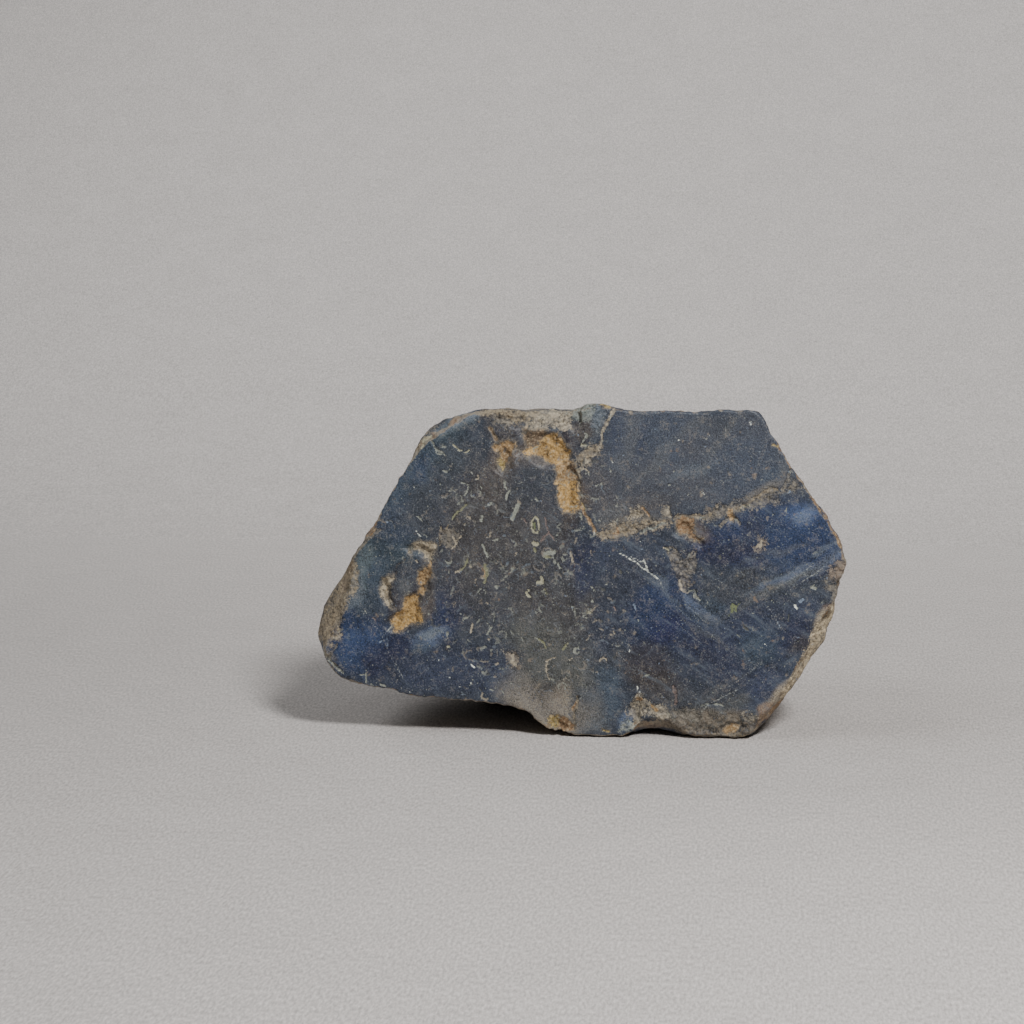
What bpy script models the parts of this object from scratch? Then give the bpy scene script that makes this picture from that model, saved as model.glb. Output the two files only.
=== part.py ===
"""A rough lump of blue chalcedony with one flat sawn face, standing on three low feet.

The sawn face looks along -Y and +Z is up. The origin is at the middle of the bottom of the stone's
box. Shapes are laid out in millimetres, across and up on the sawn face and back into the stone,
and are scaled to metres as they are made.
"""

import math

import bmesh
import bpy
from mathutils import Matrix, Vector, noise

MM = 0.001

SEED = 7
SLATE_BLUE = (0.055, 0.072, 0.105, 1.0)

# Driving sizes, in millimetres
DEPTH = 26.0
SAW_STOCK = 1.5  # stock in front of the sawn face, cut off at the end
COARSE_VOXEL = 0.6
VOXEL = 0.45
CLEAN_EDGE = 0.45  # band behind the sawn edge that keeps its outline
SAW_GRID = 0.4  # spacing of the points in which pits are sunk in the sawn face
FACETS = 9300
FLAT_WITHIN = 0.02
RING_STEP = 0.9
BAND_START = 0.15  # how far back the outline lies, and how much more for each mm of band width
BAND_SLOPE = 0.9

# The outline seen from the front, anticlockwise from the left tip: across, up, and the width of
# the broken or rind-covered band between that outline and the edge of the sawn face.
OUTLINE = (
    (-0.3, 10.4, 2.2), (-0.2, 9.4, 1.6), (0.2, 8.4, 0.9), (0.9, 7.2, 0.4), (1.6, 6.3, 0.2),
    (3.0, 5.5, 0.2), (4.6, 4.9, 0.2), (7.4, 4.6, 0.2), (8.6, 4.2, 0.2), (10.1, 3.8, 0.2),
    (14.7, 3.6, 0.2), (18.7, 3.2, 0.2), (20.9, 2.7, 0.2), (21.7, 2.4, 0.2), (22.2, 1.5, 0.3),
    (23.0, 0.9, 0.3), (23.8, 0.1, 0.4), (24.7, -0.5, 0.4), (31.2, -0.4, 0.4), (32.2, 0.8, 0.3),
    (32.9, 1.7, 0.3), (33.9, 2.0, 0.3), (34.9, 2.0, 0.3), (35.6, 1.5, 0.4), (36.2, 0.8, 0.6),
    (37.3, -0.3, 0.8), (43.3, -0.4, 0.8), (44.2, 0.4, 0.8), (45.6, 1.8, 1.1), (46.4, 2.7, 1.2),
    (47.1, 3.8, 1.0), (48.7, 6.0, 1.2), (49.6, 7.5, 1.3), (50.2, 8.7, 1.3), (50.8, 9.5, 1.4),
    (51.3, 10.5, 1.6), (51.7, 11.9, 1.5), (52.2, 12.8, 1.3), (52.3, 13.4, 0.7), (51.9, 14.0, 0.3),
    (52.5, 14.7, 0.3), (52.7, 15.5, 0.3), (52.3, 16.4, 0.3), (53.2, 17.3, 0.3), (53.4, 18.2, 0.4),
    (53.1, 19.1, 0.5), (52.7, 20.1, 0.5), (52.4, 20.8, 0.3), (51.8, 21.6, 0.3), (51.5, 22.6, 0.3),
    (50.8, 23.3, 0.3), (49.7, 24.8, 0.2), (49.2, 25.7, 0.1), (47.9, 27.4, 0.1), (46.6, 29.5, 0.1),
    (45.6, 31.3, 0.1), (44.7, 33.0, 0.1), (44.2, 33.4, 0.1), (40.2, 33.3, 0.1), (38.6, 33.2, 0.2),
    (32.8, 33.2, 0.1), (31.4, 33.3, 0.2), (30.2, 33.5, 0.2), (28.9, 33.8, 0.3), (27.8, 33.9, 0.4),
    (27.1, 33.6, 0.4), (26.4, 33.3, 0.6), (24.9, 33.1, 1.2), (20.9, 33.1, 1.2), (19.0, 33.2, 0.6),
    (17.5, 33.3, 0.5), (16.0, 33.2, 0.7), (15.0, 32.9, 0.9), (14.0, 32.4, 1.2), (13.0, 32.3, 1.6),
    (12.0, 31.7, 1.6), (11.2, 30.8, 1.2), (10.4, 29.5, 0.9), (9.9, 28.5, 0.5), (9.1, 26.9, 0.2),
    (8.0, 25.1, 0.2), (7.0, 23.5, 0.2), (6.3, 22.1, 0.3), (5.9, 21.1, 0.3), (5.0, 20.1, 0.3),
    (3.9, 18.3, 0.4), (3.3, 17.4, 0.8), (2.4, 15.9, 1.6), (1.5, 14.7, 2.1), (0.8, 13.5, 2.4),
    (0.1, 12.2, 2.5),
)

# How the stone narrows behind the outline: depth as a share of the whole, the size of the outline
# there about a point on the ground, how often it is evened out, which fades its small steps, and
# how far it is let down, so that the back reaches the ground.
MIDDLE = (31.0, 0.0)
NARROWING = (
    (0.22, 0.965, 5, 0.0),
    (0.42, 0.945, 16, 0.3),
    (0.65, 0.91, 30, 1.1),
    (0.86, 0.82, 45, 1.8),
    (1.00, 0.69, 60, 0.6),
)

# Natural breaks on the back and underside: a point of each plane (across, back, up) and the way
# that it faces.
BREAKS = (
    ((28.0, 0.6, 33.9), (0.02, 0.26, 0.97)),
    ((20.0, 12.0, 29.6), (-0.20, 0.55, 0.81)),
    ((40.0, 14.0, 29.2), (0.26, 0.52, 0.81)),
    ((31.0, 21.5, 22.0), (0.04, 0.86, 0.51)),
    ((0.0, 8.0, 12.0), (-0.96, 0.22, 0.16)),
    ((3.4, 16.5, 15.0), (-0.80, 0.58, 0.12)),
    ((10.5, 23.5, 14.0), (-0.46, 0.87, 0.16)),
    ((51.5, 9.0, 17.0), (0.90, 0.42, 0.06)),
    ((45.5, 19.0, 14.0), (0.60, 0.79, -0.12)),
    ((11.0, 9.0, 4.0), (-0.20, 0.08, -0.97)),
    ((33.0, 25.6, 12.0), (0.10, 0.99, -0.10)),
    ((47.5, 9.0, 3.6), (0.62, 0.20, -0.76)),
    ((27.0, 23.6, 3.0), (-0.10, 0.76, -0.64)),
)

# Shell-shaped flakes struck from the back: middle of the flaking ball (across, back, up), radius.
FLAKES = (
    ((1.0, 26.5, 28.5), 13.6),
    ((38.0, 38.0, 24.0), 17.2),
    ((60.5, 23.0, 22.0), 15.6),
    ((15.5, 36.5, 6.0), 15.2),
    ((50.5, 14.5, 38.0), 12.2),
    ((34.0, 13.0, -7.6), 8.6),
)

# Pits and crumbled places in the sawn face: across, up, half width, half height, turn in degrees,
# and depth.
PITS = (
    (23.5, 29.2, 2.4, 1.6, -12, 0.55),
    (21.3, 29.0, 1.2, 0.5, 10, 0.35),
    (25.5, 25.3, 0.9, 2.6, -14, 0.50),
    (19.2, 28.1, 0.8, 1.3, -8, 0.40),
    (8.9, 11.6, 1.9, 0.9, 8, 0.60),
    (9.8, 13.2, 0.8, 1.5, -10, 0.60),
    (11.1, 15.5, 0.6, 1.4, -8, 0.40),
    (10.8, 18.9, 1.5, 0.6, -10, 0.40),
    (7.1, 14.7, 0.5, 1.3, 12, 0.45),
    (37.1, 21.2, 0.9, 0.8, 20, 0.45),
    (38.5, 20.0, 0.7, 0.4, -30, 0.35),
    (41.8, 22.4, 0.5, 0.6, 0, 0.35),
    (32.6, 22.6, 1.1, 0.5, 15, 0.30),
    (24.5, 1.2, 1.1, 0.7, 0, 0.40),
    (32.3, 2.8, 0.8, 1.3, -10, 0.50),
    (41.8, 1.0, 1.6, 0.8, 8, 0.35),
    (46.3, 2.7, 0.6, 0.6, 0, 0.35),
    (22.5, 32.3, 3.6, 0.9, 0, 0.50),
    (26.2, 32.2, 0.7, 1.2, 10, 0.45),
)

# A low, uneven ridge under the back left, which the stone rests on together with its two feet at
# the sawn edge: balls that merge into it, each by its middle (across, back, up) and radius.
RIDGE = (
    ((18.0, 15.0, 9.3), 9.3),
    ((22.5, 17.5, 6.6), 7.0),
)

# Weathered rind away from the sawn face: spacing and height of each size of lump on it, the size
# of its patches, and how much of that height is left on the fresher breaks between them.
LUMPS = ((5.4, 1.25), (2.5, 0.42), (1.2, 0.14))
LUMP_WANDER = (1.7, 0.35)  # how their places stray: over which spacings, and by what share of one
LUMPS_FROM = 6.0  # depth behind the sawn face where they have their full height
PATCH = 17.0
PATCH_PLACE = Vector((4.2, 1.3, 7.7))
PATCH_EDGE = (-0.12, 0.10)
LEFT_ON_BREAKS = 0.25

# Fine roughness, each as its spacing and its height or share: of the broken edges, of the pits'
# outlines and of their floors.
BREAK_GRAIN = ((1.6, 0.10), (0.7, 0.06))
PIT_RAGGED = ((0.9, 0.26), (2.0, 0.34))
PIT_FLOOR = ((0.55, 0.35),)
PIT_EDGE = (0.72, 1.08)

# The saw's cutter: its width and height, how far it starts before the outline, and its thickness.
CUTTER = (60.0, 42.0)
CUTTER_START = (-3.0, -4.0)
CUTTER_THICK = 5.0


def metres(across, back, up):
    return Vector((across, back, up)) * MM


def smooth_step(low, high, value):
    share = min(max((value - low) / (high - low), 0.0), 1.0)
    return share * share * (3.0 - 2.0 * share)


def clear_scene():
    for old in list(bpy.data.objects):
        bpy.data.objects.remove(old, do_unlink=True)


def chalcedony_material():
    """Dull, waxy slate blue."""
    material = bpy.data.materials.new("blue chalcedony")
    material.use_nodes = True
    shader = material.node_tree.nodes["Principled BSDF"]
    shader.inputs["Base Color"].default_value = SLATE_BLUE
    shader.inputs["Roughness"].default_value = 0.55
    shader.inputs["Metallic"].default_value = 0.0
    material.diffuse_color = SLATE_BLUE
    return material


def even_outline():
    """The outline with points every RING_STEP or so, each with its band width and inward way."""
    corners = [Vector(point) for point in OUTLINE]
    points = []
    for first, second in zip(corners, corners[1:] + corners[:1]):
        steps = max(1, round((second - first).xy.length / RING_STEP))
        points += [first.lerp(second, step / steps) for step in range(steps)]
    return points


def inward(points, index):
    """The unit direction into the outline at a point, from its neighbours three steps away."""
    before = points[index - 3]
    after = points[(index + 3) % len(points)]
    along = (after - before).xy.normalized()
    return Vector((-along.y, along.x))


def make_rings(points):
    """Closed rings from the saw stock, through the sawn edge, back to the blunt rear."""
    edge = []
    brim = []
    for index, point in enumerate(points):
        way = inward(points, index)
        inner = point.xy + way * point.z
        edge.append(inner)
        brim.append((point.xy, BAND_START + BAND_SLOPE * point.z))
    rings = [[metres(p.x, -SAW_STOCK, p.y) for p in edge]]
    rings.append([metres(p.x, 0.0, p.y) for p in edge])
    rings.append([metres(p.x, back, p.y) for p, back in brim])
    middle = Vector(MIDDLE)
    for depth, size, times, drop in NARROWING:
        ring = [middle + (p - middle) * size for p in evened([p for p, back in brim], times)]
        rings.append([metres(p.x, depth * DEPTH, p.y - drop) for p in ring])
    return rings


def evened(ring, times):
    """The ring with each point drawn halfway to its neighbours, over and over."""
    for turn in range(times):
        pairs = zip(ring[-1:] + ring[:-1], ring, ring[1:] + ring[:1])
        ring = [before / 4 + here / 2 + after / 4 for before, here, after in pairs]
    return ring


def add_ring(bm, places):
    verts = [bm.verts.new(place) for place in places]
    return [bm.edges.new((a, b)) for a, b in zip(verts, verts[1:] + verts[:1])]


def rough_block():
    """The outline drawn back into the stone and broken along its natural planes."""
    bm = bmesh.new()
    rings = [add_ring(bm, ring) for ring in make_rings(even_outline())]
    for near, far in zip(rings, rings[1:]):
        bmesh.ops.bridge_loops(bm, edges=near + far)
    for ends in (rings[0], rings[-1]):
        bmesh.ops.contextual_create(bm, geom=ends)
    bmesh.ops.triangulate(bm, faces=bm.faces[:])
    bmesh.ops.recalc_face_normals(bm, faces=bm.faces[:])
    for place, facing in BREAKS:
        cut_flat(bm, metres(*place), Vector(facing).normalized())
    mesh = bpy.data.meshes.new("rough block")
    bm.to_mesh(mesh)
    bm.free()
    block = bpy.data.objects.new("rough_block", mesh)
    bpy.context.collection.objects.link(block)
    return block


def cut_flat(bm, place, facing):
    """Takes off what lies past a plane and closes the cut."""
    whole = bm.verts[:] + bm.edges[:] + bm.faces[:]
    bmesh.ops.bisect_plane(bm, geom=whole, dist=1e-7, plane_co=place, plane_no=facing, clear_outer=True)
    open_edges = [edge for edge in bm.edges if edge.is_boundary]
    bmesh.ops.holes_fill(bm, edges=open_edges, sides=0)
    bmesh.ops.triangulate(bm, faces=[face for face in bm.faces if len(face.verts) > 3])


def helper_object(name, bm):
    """An object that only shapes the stone, and isn't a part of it."""
    mesh = bpy.data.meshes.new(name)
    bm.to_mesh(mesh)
    bm.free()
    made = bpy.data.objects.new(name, mesh)
    bpy.context.collection.objects.link(made)
    made.hide_render = True
    made.display_type = "WIRE"
    return made


def ball(name, place, radius):
    bm = bmesh.new()
    bmesh.ops.create_icosphere(bm, subdivisions=4, radius=radius * MM, matrix=Matrix.Translation(place))
    return helper_object(name, bm)


def baked_mesh(source, name):
    """A plain mesh of an object as its modifiers leave it."""
    bpy.context.view_layer.update()
    graph = bpy.context.evaluated_depsgraph_get()
    mesh = bpy.data.meshes.new_from_object(source.evaluated_get(graph))
    mesh.name = name
    return mesh


def even_out(block, size):
    even = block.modifiers.new("even mesh", "REMESH")
    even.mode = "VOXEL"
    even.voxel_size = size * MM


def shaped_block():
    """The block with its ridge added, its flakes struck off and its mesh made even."""
    block = rough_block()
    helpers = [block]
    even_out(block, COARSE_VOXEL)
    tools = [("UNION", *lump) for lump in RIDGE] + [("DIFFERENCE", *flake) for flake in FLAKES]
    for number, (operation, place, radius) in enumerate(tools):
        helper = ball(f"ball_{number}", metres(*place), radius)
        helpers.append(helper)
        change = block.modifiers.new(f"ball {number}", "BOOLEAN")
        change.operation = operation
        change.solver = "EXACT"
        change.object = helper
    even_out(block, VOXEL)
    mesh = baked_mesh(block, "even block")
    for helper in helpers:
        bpy.data.objects.remove(helper, do_unlink=True)
    return mesh


def rind_share(place):
    """1 on the weathered rind, 0 on the fresher breaks."""
    return smooth_step(*PATCH_EDGE, noise.noise(place / PATCH + PATCH_PLACE))


def grain(place, sizes):
    return sum(share * noise.noise(place / spacing) for spacing, share in sizes)


def lump_height(place):
    """Height of the rounded, grape-like lumps at a place in millimetres."""
    height = 0.0
    spread, share = LUMP_WANDER
    for spacing, rise in LUMPS:
        wander = noise.noise_vector(place / (spacing * spread)) * (spacing * share)
        nearest = noise.voronoi((place + wander) / spacing)[0][0]
        height += rise * (0.5 - min(nearest, 1.0) ** 2)
    return height * (LEFT_ON_BREAKS + (1.0 - LEFT_ON_BREAKS) * rind_share(place))


def weather(bm):
    """Lumps on the back and sides, fading to a rough break next to the sawn face."""
    bm.normal_update()
    moves = []
    for vert in bm.verts:
        place = vert.co / MM
        behind = smooth_step(CLEAN_EDGE, LUMPS_FROM, place.y)
        moves.append(vert.normal * (behind * lump_height(place) + grain(place, BREAK_GRAIN)) * MM)
    for vert, move in zip(bm.verts, moves):
        vert.co += move


def pit_depth(across, up):
    """How far the sawn face lies back at a place, in millimetres."""
    here = Vector((across, up, 0.0))
    ragged = grain(here, PIT_RAGGED)
    floor = 1.0 + grain(here, PIT_FLOOR)
    deepest = 0.0
    for middle_x, middle_y, half_x, half_y, turn, depth in PITS:
        away = Matrix.Rotation(-math.radians(turn), 2) @ Vector((across - middle_x, up - middle_y))
        reach = math.hypot(away.x / half_x, away.y / half_y) + ragged
        deepest = max(deepest, depth * floor * (1.0 - smooth_step(*PIT_EDGE, reach)))
    return deepest


def saw_cutter():
    """Everything in front of the sawn face, with a pimple on its back for each pit."""
    bm = bmesh.new()
    width, height = CUTTER
    left, bottom = CUTTER_START
    turn = Matrix.Rotation(math.radians(90), 4, "X")
    centre = Matrix.Translation(metres(left + width / 2, 0.0, bottom + height / 2))
    bmesh.ops.create_grid(
        bm,
        x_segments=round(width / SAW_GRID),
        y_segments=round(height / SAW_GRID),
        size=0.5 * MM,
        matrix=centre @ turn @ Matrix.Diagonal((width, height, 1.0, 1.0)),
    )
    back = bm.verts[:]
    grown = bmesh.ops.extrude_face_region(bm, geom=bm.faces[:], use_keep_orig=True)
    front = [item for item in grown["geom"] if isinstance(item, bmesh.types.BMVert)]
    bmesh.ops.translate(bm, verts=front, vec=metres(0.0, -CUTTER_THICK, 0.0))
    for vert in back:
        vert.co.y = pit_depth(vert.co.x / MM, vert.co.z / MM) * MM
    bmesh.ops.recalc_face_normals(bm, faces=bm.faces[:])
    return helper_object("saw_cutter", bm)


def cut_to_facets(stone):
    """Sinks the sawn face and its pits, and brings the mesh to its few thousand facets."""
    cutter = saw_cutter()
    saw = stone.modifiers.new("saw", "BOOLEAN")
    saw.operation = "DIFFERENCE"
    saw.solver = "EXACT"
    saw.object = cutter
    stone.data = baked_mesh(stone, "sawn stone")
    stone.modifiers.clear()
    bpy.data.objects.remove(cutter, do_unlink=True)
    bm = bmesh.new()
    bm.from_mesh(stone.data)
    bmesh.ops.triangulate(bm, faces=bm.faces[:])
    cut_flat(bm, Vector((0, 0, 0)), Vector((0, 0, -1)))
    bm.to_mesh(stone.data)
    bm.free()
    fewer = stone.modifiers.new("facets", "DECIMATE")
    fewer.ratio = FACETS / len(stone.data.polygons)
    stone.data = baked_mesh(stone, "stone")
    stone.modifiers.clear()


def settle(bm):
    """Puts the sawn face and the feet exactly flat, and the origin under the middle of the stone."""
    for vert in bm.verts:
        if abs(vert.co.y) < FLAT_WITHIN * MM:
            vert.co.y = 0.0
        if abs(vert.co.z) < FLAT_WITHIN * MM:
            vert.co.z = 0.0
    low = [min(vert.co[axis] for vert in bm.verts) for axis in range(3)]
    high = [max(vert.co[axis] for vert in bm.verts) for axis in range(3)]
    base = Vector(((low[0] + high[0]) / 2, (low[1] + high[1]) / 2, low[2]))
    bmesh.ops.translate(bm, verts=bm.verts[:], vec=-base)


def main():
    clear_scene()
    noise.seed_set(SEED)
    bm = bmesh.new()
    bm.from_mesh(shaped_block())
    weather(bm)
    mesh = bpy.data.meshes.new("weathered stone")
    bm.to_mesh(mesh)
    bm.free()
    stone = bpy.data.objects.new("stone", mesh)
    bpy.context.collection.objects.link(stone)
    cut_to_facets(stone)
    bm = bmesh.new()
    bm.from_mesh(stone.data)
    settle(bm)
    bm.to_mesh(stone.data)
    bm.free()
    stone.data.materials.clear()
    stone.data.materials.append(chalcedony_material())


main()
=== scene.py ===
import math

import bmesh
import bpy
import numpy as np
from mathutils import Matrix, Vector


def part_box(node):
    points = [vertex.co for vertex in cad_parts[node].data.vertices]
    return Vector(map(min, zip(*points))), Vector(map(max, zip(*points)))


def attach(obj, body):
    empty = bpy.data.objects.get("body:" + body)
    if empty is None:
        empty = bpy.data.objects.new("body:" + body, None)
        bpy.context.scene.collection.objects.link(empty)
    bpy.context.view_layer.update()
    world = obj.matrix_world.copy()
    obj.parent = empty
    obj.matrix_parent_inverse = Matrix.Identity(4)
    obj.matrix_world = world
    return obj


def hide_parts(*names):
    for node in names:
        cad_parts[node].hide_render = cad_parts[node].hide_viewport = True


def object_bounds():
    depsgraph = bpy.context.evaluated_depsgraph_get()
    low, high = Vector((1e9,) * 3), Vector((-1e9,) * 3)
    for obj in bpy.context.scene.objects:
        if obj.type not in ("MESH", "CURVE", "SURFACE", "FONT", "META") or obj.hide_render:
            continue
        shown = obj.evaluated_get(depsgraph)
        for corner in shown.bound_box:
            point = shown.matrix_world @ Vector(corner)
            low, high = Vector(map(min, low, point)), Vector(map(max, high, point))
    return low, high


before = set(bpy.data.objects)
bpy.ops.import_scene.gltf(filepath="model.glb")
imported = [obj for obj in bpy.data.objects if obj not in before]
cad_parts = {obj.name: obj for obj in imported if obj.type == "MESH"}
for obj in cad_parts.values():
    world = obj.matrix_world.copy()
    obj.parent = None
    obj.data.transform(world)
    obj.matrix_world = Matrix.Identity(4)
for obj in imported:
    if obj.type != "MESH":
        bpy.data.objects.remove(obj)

# Lengths are metres in the CAD frame. Places on the sawn face are millimetres: across from the
# stone's left end, and up from the floor.
MM = 0.001

CAD_BOUNDS = [[float(value) for value in corner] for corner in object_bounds()]
STONE_LOW, STONE_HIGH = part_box("stone")
LEFT_END = STONE_LOW[0]
SAWN_PLANE = STONE_LOW[1]

# Mesh of the dressed stone, in mm: how close two of the CAD's corners are one, the squares of the
# new mesh, how far back the face stays flat and a point still counts as sawn, and where the sides
# are fully eased
DOUBLES = 0.002
VOXEL = 0.155
FLAT_SKIN = 0.08
SAWN_SKIN = 0.03
EASE_OVER = 0.8
SMOOTH_FACTOR = 0.5
SMOOTH_ROUNDS = 13
MOST_TRIANGLES = 194000
KEEP_FACE = 1.0
WEIGHT_LEVELS = 32

# The chipped notch between the foot's two lobes, in mm: from and to across, its top, how far back
# it eases off, how soft its ends are, and how much lower it hangs there.
NOTCH = (31.4, 38.4)
NOTCH_TOP = 2.2
NOTCH_EASE = 1.7
NOTCH_FADE = 1.2
NOTCH_DROP = 0.62

# Noise in the shape. Clouds: size of their lumps in mm, how many sizes are added up, and the number
# that starts their run. Crumbs: their size in mm and that number.
SWELLS = (4.6, 3, 150)
LUMPS = (1.7, 3, 3)
GRIT = (0.62, 2, 12)
POCKS = (0.85, 20)
CHIPS = (1.5, 3, 60)
RIM_LUMPS = (0.8, 2, 66)
RIM_CRUMBS = (0.9, 70)
GRAINS = (0.42, 30)
LIP_LUMPS = (1.3, 2, 75)

# Height of that relief in mm. Lumps and grit: on a fresh break, and how much more on the rind.
LUMP_HEIGHT = (0.08, 0.10)
GRIT_HEIGHT = (0.04, 0.045)
POCK_DEPTH = 0.11
SWELL_HEIGHT = 0.26
SWELLS_FROM = (1.5, 4.5)
RIM_LUMP_HEIGHT = 0.15
RIM_CRUMB_HEIGHT = 0.14
CHIP_DEPTH = 0.24
CHIP_SETBACK = 0.25
JAGGED_END = (49.0, 51.0)
JAGGED_MORE = 1.1
# The stone's lip over the floor: the height and the depth over which it fades, and its lift
LIP_HEIGHT = (0.25, 0.7)
LIP_DEPTH = (0.7, 2.0)
LIP_LIFT = (0.16, 0.2)
# Floors in the sawn face: depth all over, of the grains and of the grit, and where a grain starts
FLOORS = {"ochre": (0.05, 0.13, 0.05, 0.25), "crust": (0.03, 0.15, 0.04, 0.3)}
FLECK_DEPTH = 0.04
SCRATCH_DEPTH = 0.02
DEEPEST_FLOOR = 0.3

# Rind on the sides and back: size of its patches, and where on the noise they are cut
RIND_PATCH = 17.0
RIND_CLOUDS = (9.0, 3, 80)
RIND_PLACE = (4.2, 1.3, 7.7)

# Colours, marks and places

COLORS = {
    "slate": (0.031, 0.04, 0.059), "ink blue": (0.012, 0.016, 0.049), "navy": (0.014, 0.024, 0.069),
    "deep blue": (0.017, 0.031, 0.076), "vivid blue": (0.017, 0.035, 0.092),
    "royal": (0.013, 0.019, 0.071), "bright blue": (0.046, 0.076, 0.164),
    "steel blue": (0.044, 0.066, 0.097), "teal": (0.035, 0.057, 0.077),
    "light teal": (0.082, 0.11, 0.124), "plate blue": (0.048, 0.06, 0.086),
    "plate grey": (0.057, 0.062, 0.077), "plate brown": (0.066, 0.066, 0.075),
    "dusk blue": (0.031, 0.042, 0.077), "grey brown": (0.056, 0.054, 0.056),
    "warm brown": (0.072, 0.062, 0.056), "dark brown": (0.035, 0.031, 0.033),
    "olive grey": (0.083, 0.086, 0.078), "storm grey": (0.044, 0.05, 0.062), "ash": (0.19, 0.172, 0.146),
    "bottom tan": (0.226, 0.192, 0.148), "pale blue": (0.091, 0.124, 0.201),
    "mist blue": (0.12, 0.147, 0.178), "haze grey": (0.095, 0.102, 0.108),
    "pale block": (0.2, 0.225, 0.207), "wedge purple": (0.028, 0.025, 0.033),
    "ochre": (0.321, 0.21, 0.101), "bright ochre": (0.457, 0.29, 0.108),
    "brown ochre": (0.165, 0.121, 0.081), "yellow ochre": (0.37, 0.281, 0.109),
    "orange rust": (0.259, 0.165, 0.091), "tan": (0.284, 0.234, 0.158),
    "pale tan": (0.403, 0.351, 0.258), "dust": (0.189, 0.17, 0.138), "chalk": (0.279, 0.295, 0.251),
    "cream": (0.382, 0.369, 0.256), "lemon": (0.213, 0.216, 0.13), "lime": (0.15, 0.175, 0.089),
    # frost, on the line below, is a white as bright as the light itself; on the scratches it is painted
    # glint
    "rose": (0.202, 0.152, 0.136), "foot tan": (0.149, 0.125, 0.095), "frost": (0.978, 1.025, 0.912),
    "frost blue": (0.173, 0.221, 0.299), "painted lit rind": (0.515, 0.425, 0.281),
    "rind brown": (0.222, 0.177, 0.137), "rind dark": (0.088, 0.073, 0.064),
    "rind tan": (0.29, 0.247, 0.183), "rind grey": (0.209, 0.194, 0.173),
}
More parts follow.
